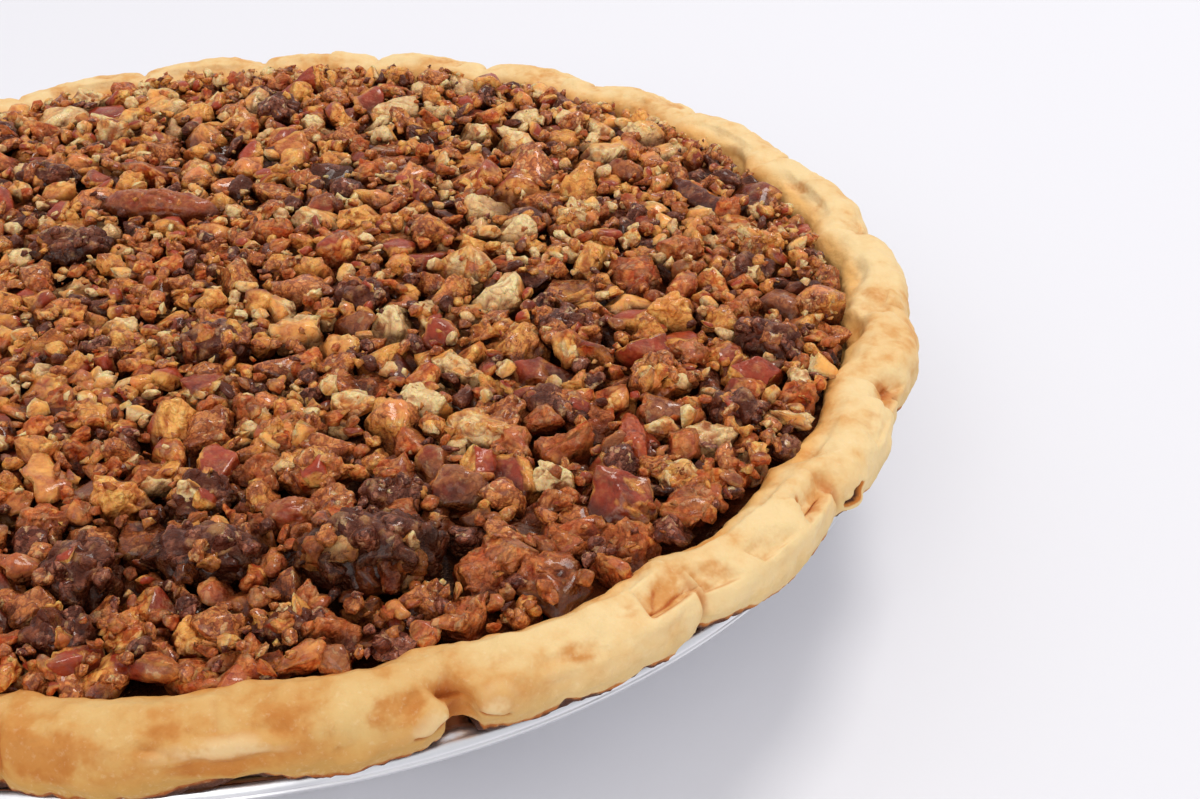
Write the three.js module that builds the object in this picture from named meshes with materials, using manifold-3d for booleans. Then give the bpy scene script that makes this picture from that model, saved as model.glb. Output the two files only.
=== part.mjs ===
// A nine-inch pecan pie in its foil tin. Millimetres, +Z up, origin on the
// table under the middle of the tin.
import * as THREE from 'three';
import { mergeVertices } from 'three/addons/utils/BufferGeometryUtils.js';
import Module from 'manifold-3d';

const wasm = await Module();
wasm.setup();

// Driving dimensions
const GAP = 0.35; // clearance between solids that touch
const TIN_BASE_RADIUS = 86.4; // outside, where the wall starts
const TIN_WALL_TOP_RADIUS = 104.6; // outside, where the wall meets the flange
const TIN_CORNER = 2.2; // width of the bevel round the base
const TIN_WALL_HEIGHT = 26.8;
const TIN_FOIL = 0.5;
const TIN_SEGMENTS = 60;
const BEAD_RADIUS = 1.45; // section of the rolled edge
const BEAD_CENTRE_RADIUS = 112.55;
const BEAD_CENTRE_HEIGHT = 28.55;
const BEAD_SIDES = 6;

const PASTRY = 4.6; // thickness of the crust inside the tin
const PASTRY_BASE = 1.05; // height of the crust's underside
const PASTRY_FLOOR = 5.5; // height of the crust's floor
const RIM_RADIUS = 111; // middle of the rolled rim
const RIM_DRAWN = 0.9; // how far the rim is drawn out of round
const RIM_DRAWN_TURN = 10; // degrees round the pie where it is drawn out most
const RIM_HEIGHT = 35.85; // middle of the rolled rim above the table
const RIM_HALF_WIDTH = 5.95;
const RIM_HALF_HEIGHT = 5.05;
const RIM_SQUARENESS = 0.86; // 1 is an ellipse, less is boxier
const RIM_ANGLES = [-62, -28, 8, 42, 76, 112, 150, 192]; // round the rim's section
const FLUTE_SWING = 2.6; // from a pinch to the next bulge, outwards
const FLUTE_EASE = 0.15; // share of the swing that is lost on the inner side
const FLUTE_DIP = 1.2; // how far a pinch sinks
const FLUTE_STEPS = [0, 0.12, 0.36, 0.64, 0.88]; // samples across one flute
const PINCHES = [
  98.4, 84.2, 70.4, 57, 43, 28.6, 13.9, -3.2, -18.5, -31, -46, -62,
  -81, -96, -109, -124, -139.5, -155, -170, -185.5, -200.5, -216, -231, -246.5,
]; // where the rim was pressed, degrees round the pie

const FILL_EDGE_HEIGHT = 36; // caramel at the crust
const FILL_DOME = 1.8; // how much higher it stands in the middle
const FILL_RADIUS = 102.2;
const FILL_SEGMENTS = 48;
const GRAIN_SPOTS = 150; // places where a chopped nut may sit
const GRAIN_RADIUS = 98; // the outermost of them
const GRAIN_SIZE = [5.6, 8.8]; // length of a chopped nut
const TOPPING_RADIUS = 100.4; // large pieces stay inside this

// Large pieces: x, y, length, width, turn in degrees
const TOPPINGS = {
  half: [
    [-14, 33, 25, 10, -24],
    [5, -75, 9, 8, -4],
    [66, -72, 13, 6.5, -95],
    [-38, -81, 23, 8.5, -54],
    [-70, -30, 22, 9, 40],
  ],
  skin: [
    [-9, -35, 9, 6.5, -14],
    [-21, -64, 9, 8.5, 26],
    [54, -40, 11, 7, -55],
    [30, -67, 8.5, 7, -14],
    [72, -57, 11, 8, -5],
    [52, -86, 12.5, 10, 0],
    [29, -95, 13, 6.5, -32],
    [-32, -65, 11, 7, 8],
    [-13, -95, 10, 6, -54],
    [70, -33, 10, 9, -14],
    [22, 97, 10, 7.5, -15],
    [-62, 8, 11, 8, 70],
    [-82, 34, 12, 8, -35],
  ],
  meat: [
    [31, -39, 14, 6, -52],
    [73, -45, 12, 6.5, -60],
    [41, -74, 9, 7, -30],
    [35, -90, 11, 5.5, -62],
    [-18, -94, 12, 5, -91],
    [79, -9, 10, 8, -15],
    [82, -35, 10, 6.5, 44],
    [-55, 38, 10, 7, 15],
  ],
  cluster: [
    [-29, 19, 16, 11, -15],
    [-7, -24, 13, 10, -10],
    [-13, -65, 10, 10, -14],
    [-8, -80, 17, 11, -10],
    [14, -74, 11, 9, -14],
    [45, -54, 12, 7.5, -48],
    [79, -68, 11, 9, -34],
    [88, -48, 12, 10, -14],
    [13, -94, 23, 14, -8],
    [-25, -84, 12, 11, -14],
    [-3, -99, 13, 8, -14],
    [-29, -95, 10, 9, -4],
    [12, 77, 11, 10, 3],
    [-36, 53, 13, 9, -15],
    [53, -29, 13, 7, -23],
    [19, -13, 13, 9, -14],
    [89, -15, 11, 8, -6],
    [-84, -12, 14, 10, 100],
    [-58, -52, 15, 11, 20],
    [-48, 80, 13, 10, 140],
  ],
  crumb: [
    [4, -54, 11, 8, 0],
    [7, -65, 12, 8, -28],
    [64, -52, 11, 10, -14],
    [58, -81, 9.5, 6, -7],
    [64, 9, 11, 9, -10],
    [100, -13, 12, 8, 0],
    [-70, 58, 11, 9, 60],
  ],
  shell: [
    [23, -37, 12, 5, -87],
    [71, -70, 12, 5, -96],
    [89, 14, 20, 7, -70],
    [-45, -15, 11, 6, -50],
  ],
};

// Smaller pieces that are one body with the filling, in the same order
const SET_IN = {
  skin: [
    [-21, -48, 7, 7, -14],
    [22, -75, 7, 5, -5],
    [41, -94, 8, 5, 40],
  ],
  meat: [
    [-14, -40, 8, 6.5, 28],
    [-6, -48, 8.5, 5.5, -14],
    [28, -51, 8, 5, 33],
    [47, -66, 9, 4.5, -14],
    [48, -12, 9, 7, -14],
    [59, -15, 8.5, 7, -14],
    [-5, -91, 8, 4, 31],
    [-37, 7, 9, 5.5, -14],
    [13, -46, 9, 5.5, -14],
  ],
  crumb: [
    [-11, -54, 8, 6.5, -14],
    [-2, -66, 9, 6, -22],
    [35, -77, 7, 5.5, 20],
  ],
  shell: [[3, 18, 9, 7, -15]],
};

// Form of each kind: height over width, flat cuts, lumpiness, groove depth
const KINDS = {
  half: { rise: 0.78, cuts: [], lumps: 0.05, groove: 0.3, colour: 0x8a4526 },
  skin: { rise: 0.86, cuts: [0.78, 0.82], lumps: 0.08, groove: 0.1, colour: 0x7d3b22 },
  meat: { rise: 0.82, cuts: [0.84, 0.8, 0.72], lumps: 0.14, groove: 0, colour: 0xd8a65e },
  cluster: { rise: 0.74, cuts: [], lumps: 0.2, groove: 0, colour: 0x4a2822 },
  crumb: { rise: 0.8, cuts: [0.9], lumps: 0.22, groove: 0, colour: 0xa06a36 },
  shell: { rise: 0.84, cuts: [0.9], lumps: 0.06, groove: 0, colour: 0x5c2a26 },
};

const radians = THREE.MathUtils.degToRad;

// A repeatable number from 0 to 1 for each whole number
function chance(index) {
  const value = Math.sin(index * 12.9898) * 43758.5453;
  return value - Math.floor(value);
}

// One closed body: positions only, shared vertices merged, flat slivers dropped, faces out
function closed(geometry) {
  geometry.deleteAttribute('normal');
  geometry.deleteAttribute('uv');
  const merged = mergeVertices(geometry, 1e-3);
  const source = merged.index.array;
  const kept = [];
  for (let i = 0; i < source.length; i += 3) {
    const [a, b, c] = [source[i], source[i + 1], source[i + 2]];
    if (a !== b && b !== c && c !== a) kept.push(a, b, c);
  }
  if (volume(merged.attributes.position, kept) < 0) kept.reverse();
  merged.setIndex(kept);
  return merged;
}

function volume(position, index) {
  const corners = [new THREE.Vector3(), new THREE.Vector3(), new THREE.Vector3()];
  let total = 0;
  for (let i = 0; i < index.length; i += 3) {
    corners.forEach((corner, k) => corner.fromBufferAttribute(position, index[i + k]));
    total += corners[0].dot(corners[1].clone().cross(corners[2])) / 6;
  }
  return total;
}

function toManifold(geometry) {
  return new wasm.Manifold(new wasm.Mesh({
    numProp: 3,
    vertProperties: new Float32Array(geometry.attributes.position.array),
    triVerts: new Uint32Array(geometry.index.array),
  }));
}

function fromManifold(solid) {
  const mesh = solid.getMesh();
  const geometry = new THREE.BufferGeometry();
  geometry.setAttribute('position', new THREE.BufferAttribute(mesh.vertProperties, 3));
  geometry.setIndex(new THREE.BufferAttribute(mesh.triVerts, 1));
  return geometry;
}

// A turned body about +Z, from [radius, height] points that start and end on the axis
function turned(points, segments) {
  const geometry = new THREE.LatheGeometry(points.map(([r, z]) => new THREE.Vector2(r, z)), segments);
  geometry.rotateX(Math.PI / 2);
  return closed(geometry);
}

function material(colour, roughness, metalness = 0) {
  return new THREE.MeshStandardMaterial({ color: colour, roughness, metalness });
}

// The tin's inner wall at a height
function tinInside(height) {
  const slope = (TIN_WALL_TOP_RADIUS - TIN_BASE_RADIUS) / (TIN_WALL_HEIGHT - 1);
  return TIN_BASE_RADIUS - TIN_FOIL * Math.hypot(1, slope) + (height - 1) * slope;
}

// Foil pan: flat base, sloping wall, flange and rolled edge
function tinGeometry() {
  const outside = [
    [0, 0],
    [TIN_BASE_RADIUS - TIN_CORNER, 0],
    [TIN_BASE_RADIUS, 1],
    [TIN_WALL_TOP_RADIUS, TIN_WALL_HEIGHT],
    [TIN_WALL_TOP_RADIUS + 1.6, BEAD_CENTRE_HEIGHT - TIN_FOIL],
  ];
  const bead = [];
  for (let i = 0; i < BEAD_SIDES; i += 1) {
    const turn = radians(-160 + (320 * i) / (BEAD_SIDES - 1));
    bead.push([
      BEAD_CENTRE_RADIUS + BEAD_RADIUS * Math.cos(turn),
      BEAD_CENTRE_HEIGHT + BEAD_RADIUS * Math.sin(turn),
    ]);
  }
  const inside = [
    [TIN_WALL_TOP_RADIUS + 1.4, BEAD_CENTRE_HEIGHT],
    [tinInside(TIN_WALL_HEIGHT + 0.3), TIN_WALL_HEIGHT + 0.3],
    [tinInside(1.4), 1.4],
    [TIN_BASE_RADIUS - TIN_CORNER - 0.2, TIN_FOIL],
    [0, TIN_FOIL],
  ];
  return turned([...outside, ...bead, ...inside], TIN_SEGMENTS);
}

// Round the rim: each sample's direction, drift, lift and bulge, which is 0 at a pinch
function rimSamples() {
  const samples = [];
  PINCHES.forEach((start, flute) => {
    const last = flute === PINCHES.length - 1;
    const end = last ? PINCHES[0] - 360 : PINCHES[flute + 1];
    FLUTE_STEPS.forEach((step) => {
      const fullness = 0.72 + 0.28 * chance(flute + 3);
      const direction = radians(start + (end - start) * step);
      const fromDrawn = direction - radians(RIM_DRAWN_TURN);
      samples.push({
        direction,
        drift: RIM_DRAWN * (Math.cos(fromDrawn) + Math.cos(2 * fromDrawn)),
        bulge: fullness * Math.sin(Math.PI * step) ** 0.6,
        lift: 0.9 * (chance(flute + 40) - 0.5),
      });
    });
  });
  return samples;
}

function squared(value) {
  return Math.sign(value) * Math.abs(value) ** RIM_SQUARENESS;
}

// [radius, height] round one radial section of the crust
function crustSection({ drift, bulge, lift }) {
  const rim = RIM_ANGLES.map((angle) => {
    const turn = radians(angle);
    const inward = 0.5 - 0.5 * Math.cos(turn);
    const swing = FLUTE_SWING * (bulge - 0.55) * (1 - FLUTE_EASE * inward);
    const rise = (lift + FLUTE_DIP * (bulge - 0.6)) * Math.max(0, Math.sin(turn));
    return [
      RIM_RADIUS + drift + swing + RIM_HALF_WIDTH * squared(Math.cos(turn)),
      RIM_HEIGHT + rise + RIM_HALF_HEIGHT * squared(Math.sin(turn)),
    ];
  });
  return [
    [0, PASTRY_BASE],
    [TIN_BASE_RADIUS - TIN_CORNER, PASTRY_BASE],
    [tinInside(27) - 0.6, 27],
    [TIN_WALL_TOP_RADIUS + 1.3, BEAD_CENTRE_HEIGHT + 0.8],
    [BEAD_CENTRE_RADIUS - BEAD_RADIUS, BEAD_CENTRE_HEIGHT + BEAD_RADIUS + 0.6],
    ...rim,
    [tinInside(30) - 0.6 - PASTRY, 30],
    [tinInside(PASTRY_FLOOR) - 0.6 - PASTRY, PASTRY_FLOOR],
    [0, PASTRY_FLOOR],
  ];
}

// Pie shell: base and wall inside the tin, rolled rim pinched into flutes
function crustGeometry() {
  const samples = rimSamples();
  const outline = crustSection(samples[0]);
  const rows = outline.length;
  const shape = outline.map(([r, z]) => new THREE.Vector2(r, z));
  const geometry = new THREE.LatheGeometry(shape, samples.length);
  const position = geometry.attributes.position;
  for (let i = 0; i < position.count; i += 1) {
    const sample = samples[Math.floor(i / rows) % samples.length];
    const [radius, height] = crustSection(sample)[i % rows];
    const x = radius * Math.cos(sample.direction);
    const y = radius * Math.sin(sample.direction);
    position.setXYZ(i, x, y, height);
  }
  return closed(geometry);
}

// Height of the caramel at a distance from the middle
function fillHeight(radius) {
  return FILL_EDGE_HEIGHT + FILL_DOME * (1 - (radius / FILL_RADIUS) ** 2);
}

function fillCore() {
  const inset = PASTRY + 0.6 + 2 * GAP;
  const top = [0.97, 0.8, 0.5, 0].map((share) => {
    const radius = FILL_RADIUS * share;
    return [radius, fillHeight(radius)];
  });
  const points = [
    [0, PASTRY_FLOOR + GAP],
    [tinInside(PASTRY_FLOOR) - inset, PASTRY_FLOOR + GAP],
    [tinInside(30) - inset, 30],
    [FILL_RADIUS, FILL_EDGE_HEIGHT - 1.4],
    ...top,
  ];
  return turned(points, FILL_SEGMENTS);
}

// A nut fragment: an ellipsoid with flat cuts, lumps or a groove, flat underneath.
// It stands on z = 0 with its length along X.
function fragmentGeometry(kind, length, width, seed, detail) {
  const form = KINDS[kind];
  const grooved = form.groove > 0.2;
  const geometry = grooved
    ? new THREE.SphereGeometry(1, 12, 7).rotateZ(Math.PI / 2)
    : new THREE.IcosahedronGeometry(1, detail);
  const solid = closed(geometry);
  const half = [length / 2, width / 2, form.rise * width * 0.6];
  const floor = form.rise * width * 0.4;
  const cuts = form.cuts.map((reach, i) => {
    const side = i === 0 ? 0 : Math.PI * (i === 1 ? 1 : 0.5);
    const turn = side + 0.5 * (chance(seed + i) - 0.5);
    const lean = 0.5 * (chance(seed + 7 + i) - 0.3);
    const normal = new THREE.Vector3(Math.cos(turn), Math.sin(turn), lean).normalize();
    const across = Math.hypot(normal.x * half[0], normal.y * half[1], normal.z * half[2]);
    return { normal, reach: reach * across };
  });
  cuts.push({ normal: new THREE.Vector3(0, 0, -1), reach: floor });
  const position = solid.attributes.position;
  const ray = new THREE.Vector3();
  for (let i = 0; i < position.count; i += 1) {
    ray.fromBufferAttribute(position, i).normalize();
    let reach = 1 / Math.hypot(ray.x / half[0], ray.y / half[1], ray.z / half[2]);
    reach *= 1 + form.lumps * 2 * (chance(seed * 3 + i) - 0.5);
    const fromTop = Math.atan2(ray.y / half[1], ray.z / half[2]);
    if (grooved) reach *= 1 - form.groove * Math.exp(-((fromTop / 0.35) ** 2));
    cuts.forEach((cut) => {
      const facing = ray.dot(cut.normal);
      if (facing > 0) reach = Math.min(reach, cut.reach / facing);
    });
    position.setXYZ(i, ray.x * reach, ray.y * reach, ray.z * reach + floor);
  }
  return solid;
}

// Footprint of a piece: a bar with round ends
function footprint([x, y, length, width, turn]) {
  const reach = Math.max(0, (length - width) / 2);
  const along = new THREE.Vector2(Math.cos(radians(turn)), Math.sin(radians(turn)));
  return { centre: new THREE.Vector2(x, y), along, reach, radius: Math.min(length, width) / 2 };
}

// Nearest points of two footprints' spines
function nearest(first, second) {
  let best = null;
  for (let i = -2; i <= 2; i += 1) {
    for (let j = -2; j <= 2; j += 1) {
      const a = first.centre.clone().addScaledVector(first.along, (first.reach * i) / 2);
      const b = second.centre.clone().addScaledVector(second.along, (second.reach * j) / 2);
      const apart = b.clone().sub(a);
      if (!best || apart.length() < best.length()) best = apart;
    }
  }
  return best;
}

// How much nearer two footprints are than they may be, at a share of their radii
function shortfall(first, second, share) {
  return share * (first.radius + second.radius) + 2 * GAP - nearest(first, second).length();
}

// Draws a footprint in until both its ends are clear of the crust
function keepInside(print) {
  [-1, 1].forEach((end) => {
    const tip = print.centre.clone().addScaledVector(print.along, end * print.reach);
    const over = tip.length() + 1.1 * print.radius - TOPPING_RADIUS;
    if (over > 0) print.centre.addScaledVector(tip.normalize(), -over);
  });
}

// Pieces that would cross are moved apart, and all are kept inside the crust
function settle(pieces) {
  for (let round = 0; round < 60; round += 1) {
    pieces.forEach((first, i) => {
      pieces.slice(i + 1).forEach((second) => {
        const short = shortfall(first.print, second.print, 1.12);
        if (short <= 0) return;
        const apart = nearest(first.print, second.print).normalize();
        first.print.centre.addScaledVector(apart, -short / 2);
        second.print.centre.addScaledVector(apart, short / 2);
      });
      keepInside(first.print);
    });
  }
}

function listed(table) {
  const pieces = [];
  Object.entries(table).forEach(([kind, rows]) => {
    rows.forEach((row, i) => {
      pieces.push({ kind, row, number: i + 1, print: footprint(row), seed: 17 * pieces.length + 5 });
    });
  });
  return pieces;
}

// Puts a fragment down on the caramel, tilted as the surface is there
function place(object, x, y, turn, lift) {
  const radius = Math.hypot(x, y);
  const slope = (2 * FILL_DOME * radius) / FILL_RADIUS ** 2;
  object.rotation.set(slope * Math.sin(radians(turn)), slope * Math.cos(radians(turn)), radians(turn), 'ZYX');
  object.position.set(x, y, fillHeight(radius) + lift);
  object.updateMatrix();
}

// Chopped nuts between the large pieces: spread evenly, larger ones first
function grains(taken) {
  const spots = [];
  for (let i = 0; i < GRAIN_SPOTS; i += 1) {
    const radius = GRAIN_RADIUS * Math.sqrt((i + 0.5) / GRAIN_SPOTS) + 2 * (chance(i + 11) - 0.5);
    const around = i * 2.39996 + 0.1 * chance(i + 23);
    const size = THREE.MathUtils.lerp(GRAIN_SIZE[1], GRAIN_SIZE[0], chance(i + 31));
    const row = [
      radius * Math.cos(around),
      radius * Math.sin(around),
      size,
      size * (0.7 + 0.25 * chance(i + 47)),
      360 * chance(i + 59),
    ];
    spots.push({ kind: i % 3 === 0 ? 'meat' : 'crumb', row, print: footprint(row), seed: i + 900 });
  }
  spots.sort((a, b) => b.row[2] - a.row[2]);
  const kept = [];
  spots.forEach((spot) => {
    const free = [...taken, ...kept].every((other) => shortfall(spot.print, other.print, 1.08) < 0);
    if (free) kept.push(spot);
  });
  return kept;
}

// Caramel with the smaller nuts joined to it
function fillingGeometry(large) {
  const setIn = fitting(listed(SET_IN), large);
  let body = toManifold(fillCore());
  [...setIn, ...grains([...large, ...setIn])].forEach((piece) => {
    const [, , length, width, turn] = piece.row;
    const holder = new THREE.Object3D();
    place(holder, piece.print.centre.x, piece.print.centre.y, turn, -0.22 * width);
    const shape = fragmentGeometry(piece.kind, length, width, piece.seed, 0);
    shape.applyMatrix4(holder.matrix);
    body = body.add(toManifold(shape));
  });
  return fromManifold(body);
}

// Moves the smaller pieces clear of the large ones, which stay, and leaves out any with no room
function fitting(small, large) {
  for (let round = 0; round < 40; round += 1) {
    small.forEach((piece) => {
      [...large, ...small].forEach((other) => {
        if (other === piece) return;
        const short = shortfall(other.print, piece.print, 1.15);
        const away = nearest(other.print, piece.print).normalize();
        if (short > 0) piece.print.centre.addScaledVector(away, short);
      });
      keepInside(piece.print);
    });
  }
  return small.filter((piece) => large.every((other) => shortfall(other.print, piece.print, 1.08) < 0));
}

function named(name, geometry, look) {
  const mesh = new THREE.Mesh(geometry, look);
  mesh.name = name;
  return mesh;
}

const pie = new THREE.Group();
pie.add(named('tin', tinGeometry(), material(0xd8dadd, 0.3, 1)));
pie.add(named('crust', crustGeometry(), material(0xe2b476, 0.8)));

const large = listed(TOPPINGS);
settle(large);
pie.add(named('filling', fillingGeometry(large), material(0x7a4322, 0.45)));

large.forEach((piece) => {
  const [, , length, width, turn] = piece.row;
  const shape = fragmentGeometry(piece.kind, length, width, piece.seed, 1);
  const mesh = named(`${piece.kind}_${piece.number}`, shape, material(KINDS[piece.kind].colour, 0.5));
  place(mesh, piece.print.centre.x, piece.print.centre.y, turn, GAP);
  pie.add(mesh);
});

export default pie;
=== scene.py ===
"""A nine-inch pecan pie in its foil tin: crust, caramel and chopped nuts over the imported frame."""
import math

import bmesh
import bpy
import numpy as np
from mathutils import Euler, Matrix, Vector


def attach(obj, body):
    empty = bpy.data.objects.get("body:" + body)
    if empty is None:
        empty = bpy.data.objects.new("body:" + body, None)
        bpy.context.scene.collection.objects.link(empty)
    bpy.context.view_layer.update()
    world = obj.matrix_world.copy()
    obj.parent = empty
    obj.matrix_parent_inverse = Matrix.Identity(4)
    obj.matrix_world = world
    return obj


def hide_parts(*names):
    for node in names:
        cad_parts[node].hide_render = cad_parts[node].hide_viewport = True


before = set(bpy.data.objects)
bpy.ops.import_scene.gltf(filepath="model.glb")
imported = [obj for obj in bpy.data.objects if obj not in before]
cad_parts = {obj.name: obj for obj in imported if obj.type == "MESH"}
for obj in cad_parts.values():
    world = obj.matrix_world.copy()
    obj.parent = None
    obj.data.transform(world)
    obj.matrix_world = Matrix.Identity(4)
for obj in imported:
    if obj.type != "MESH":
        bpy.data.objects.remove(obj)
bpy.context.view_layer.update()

bl_info = {
    "name": "Pecan pie",
    "version": (1, 0, 0),
    "blender": (4, 5, 0),
    "location": "3D View > Sidebar > Pecan pie",
    "description": "Builds the foil tin, fluted crust, caramel and nut topping of a pecan pie",
    "category": "Add Mesh",
}

MM = 0.001
ROOT = "root"
FULL_TURN = 2 * math.pi
# The turn from one point to the next that spreads points evenly over a ball
GOLDEN_TURN = 2.39996
# Upper limit of a random turn
TURN_LIMIT = 6.28
# Radii in mm at which lengths along the rim, at its pinches and round its section are measured
RIM_REACH = 112
PINCH_REACH = 110
SECTION_REACH = 5.6
# One degree along the rim, in mm
RIM_DEGREE = 1.955
# Where the rolled rim's section starts, where its inner side starts and where it ends, in degrees
RIM_START, RIM_TOP, RIM_END = -62, 104, 192
# How far the tin's foot stands out before its wall starts to rise, and how sharply it turns up
FOOT_RADIUS = 84.4 * MM
FOOT_BEND = 2.3 * MM
# Nuts nearer the eye than this are the front pieces, the others the back pieces
FRONT_EDGE = -35 * MM
# How far from the axis the scattered nuts may reach
NUT_REACH = 105.6 * MM
# How far round a place the heap's mean height is taken, and how far under it the painted shade and the pooled
# dark caramel start
MEAN_REACH = 5 * MM
DROWNED_AND_SHADED = 2.8 * MM

# Where the rim was pinched, in degrees round the pie
PINCHES = [
    98.4, 84.2, 70.4, 57, 43, 28.6, 13.9, -3.2, -18.5, -31, -46, -62,
    -81, -96, -109, -124, -139.5, -155, -170, -185.5, -200.5, -216, -231, -246.5,
]
# Marks pressed into the rim: degrees round the pie, degrees round its section,
# half length and half width in mm, depth in mm (raised if negative) and how browned;
# a negative browning gives a raised mark a painted highlight
MARKS = [
    (-48.3, 58, 5.0, 2.4, 2.6, 0.6), (-64, 72, 4.4, 2.6, 1.7, 0.9), (-55.2, 56, 3.4, 2.0, 1.0, 0.5),
    (-60.3, 58, 2.6, 2.6, 1.1, 0.8), (-31.5, 48, 4.4, 3.0, 1.8, 0.6), (-72.5, 46, 5.0, 2.2, 0.4, 0.8),
    (-84.6, 40, 4.6, 2.9, 0.4, 1.1), (-105.5, 42, 9.5, 3.0, 0.4, 1.2), (-80, 70, 2.3, 2.4, 0.4, 0.5),
    (-98.2, 60, 2.8, 1.4, 0.3, 0.8), (-68, 74, 2.4, 1.6, 0.3, 0.5), (-77.5, 72, 3.0, 1.9, 0.4, 0.5),
    (-91, 52, 3.6, 2.4, 0.4, 0.75), (-95.4, 3, 7.0, 1.8, 0.3, 1.2), (-107, 18, 10, 3.6, 0.2, 0.9),
    (-22, 149, 5.0, 3.0, 1.4, 0.3), (-83.3, 52, 0.8, 0.8, 0.3, 1.1),
    (18, 158, 5.0, 3.0, 1.5, 0.2), (-37, 52, 4.0, 2.5, 0.6, 0.35), (-18, 96, 4.0, 2.2, 0.7, 0.4),
    (-43, 122, 4.6, 3.4, 1.5, 0.2), (-12, 130, 4.4, 3.2, 1.3, 0.2), (-57, 132, 3.2, 2.6, 1.2, 0.2),
    (-95.2, 27, 8.0, 1.8, -1.6, -0.8), (-82.9, 14, 3.8, 2.2, -1.1, -0.8), (-78.4, 16, 2.8, 2.4, -1.2, -0.8),
    (-74, 30, 2.2, 1.6, -0.6, -0.7), (-66, 36, 4.0, 1.5, -0.6, -0.5), (-51, 28, 5.0, 1.8, -0.6, -0.5),
    (-44.2, -14, 2.4, 1.4, -1.2, -0.9),
    (-3, 70, 3.8, 2.4, 0.6, 0.45), (8, 110, 3.4, 2.4, 0.7, 0.3), (33, 74, 4.2, 2.4, 0.6, 0.5),
    (48, 100, 3.8, 2.4, 0.6, 0.35), (62, 80, 4.2, 2.6, 0.7, 0.55), (78, 66, 3.8, 2.4, 0.6, 0.4),
]
# Narrow creases: degrees round the pie and round the section at both ends,
# then half width in mm, depth in mm and how dark the crease's painted shade is
CREASES = [
    (-45.0, -8, -43.2, 2, 0.35, 1.5, 2.0), (-99.5, 40, -96.5, 18, 1.0, 0.7, 0.12),
    (-96.5, 18, -92.5, 14, 1.0, 0.6, 0.1), (-95.6, 92, -95.4, 60, 0.7, 0.5, 0.14),
    (-88.9, 34, -88.4, 6, 0.4, 0.4, 0.14), (-88.4, 6, -87.4, 14, 0.4, 0.3, 0.12),
    (-83.6, -6, -81.8, -2, 0.5, 0.8, 0.5), (-79.2, -4, -77.8, -8, 0.5, 0.8, 0.5),
    (-62.6, 66, -62, 44, 0.5, 0.5, 0.14),
    (-51.0, 54, -49.4, 82, 0.4, 0.5, 0.45), (-51.0, 54, -47.0, 34, 0.4, 0.5, 0.35),
    (-66.0, 59, -64.6, 90, 0.4, 0.4, 0.3), (-66.0, 59, -62.4, 58, 0.4, 0.5, 0.35),
    (-34.0, 47, -33.4, 70, 0.5, 0.35, 0.12), (-34.0, 47, -30.5, 34, 0.5, 0.35, 0.12),
]
# Where two folds of the rim part, in degrees round the pie
NOTCH = -80.6
# Where a pinch was smoothed over by a second fold
HEALED = -96
# Kinds of nut, each with a slot name
SLOTS = {
    "half": "pecan_skin", "skin": "pecan_skin", "meat": "nut_meat",
    "cluster": "caramel_clump", "crumb": "sugared_nut", "shell": "dark_skin",
}


def chance(index):
    """A repeatable number from 0 to 1 for each whole number."""
    value = math.sin(index * 12.9898) * 43758.5453
    return value - math.floor(value)


def srgb(red, green, blue):
    """A colour given as it shows on a screen, 0 to 255, as the linear values a material takes."""
    shown = (channel / 255 for channel in (red, green, blue))
    return tuple(c / 12.92 if c < 0.04045 else ((c + 0.055) / 1.055) ** 2.4 for c in shown)


def smooth(low, high, values):
    share = np.clip((values - low) / (high - low), 0, 1)
    return share * share * (3 - 2 * share)


# ---------------------------------------------------------------- sizes and colours


def length(name, millimetres, description):
    return bpy.props.FloatProperty(
        name=name, description=description, default=millimetres * MM, unit="LENGTH", precision=5
    )


def colour(name, shown, description):
    return bpy.props.FloatVectorProperty(
        name=name, description=description, default=srgb(*shown), subtype="COLOR", size=3, min=0, max=1
    )


def factor(name, value, description):
    return bpy.props.FloatProperty(
        name=name, description=description, default=value, subtype="FACTOR", min=0, soft_max=1
    )


def angle_of(name, degrees, description):
    return bpy.props.FloatProperty(
        name=name, description=description, default=math.radians(degrees), subtype="ANGLE"
    )


def how_many(name, count, description):
    return bpy.props.IntProperty(name=name, description=description, default=count, min=0)


class PieTinSizes(bpy.types.PropertyGroup):
    base_radius: length("Base radius", 86.4, "Outside radius where the wall starts")
    wall_top: length("Wall top radius", 104.6, "Outside radius where the wall meets the flange")
    wall_height: length("Wall height", 26.8, "Height of the wall's top")
    foil: length("Foil", 0.5, "Thickness of the foil")
    bead_radius: length("Bead radius", 1.45, "Section of the rolled edge")
    bead_centre: length("Bead centre radius", 112.55, "Middle of the rolled edge from the pie's axis")
    bead_height: length("Bead height", 28.55, "Middle of the rolled edge above the table")
    seam: length("Seam", 0.3, "Depth of the seam round the rolled edge")
    metal: colour("Foil colour", (238, 238, 240), "Bright side of the foil")


class PieCrustSizes(bpy.types.PropertyGroup):
    rim_radius: length("Rim radius", 111.0, "Middle of the rolled rim from the pie's axis")
    drawn: length("Drawn", 0.9, "How far the rim is drawn out of round")
    rim_height: length("Rim height", 35.85, "Middle of the rolled rim above the table")
    half_width: length("Half width", 5.95, "Half the rim's width")
    half_height: length("Half height", 5.05, "Half the rim's height")
    squareness: factor("Squareness", 0.86, "1 is an ellipse, less is boxier")
    swing: length("Flute swing", 2.6, "From a pinch to the next bulge, outwards")
    dip: length("Flute dip", 1.2, "How far a pinch sinks")
    pale: colour("Pale pastry", (244, 212, 154), "Pastry that browned least")
    golden: colour("Golden pastry", (235, 188, 122), "Most of the pastry")
    brown: colour("Browned pastry", (222, 156, 82), "Patches that browned")
    toast: colour("Toasted pastry", (211, 140, 66), "Spots that browned most")
    hem: colour("Hem", (226, 192, 130), "Pale pastry next to the tin")


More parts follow.
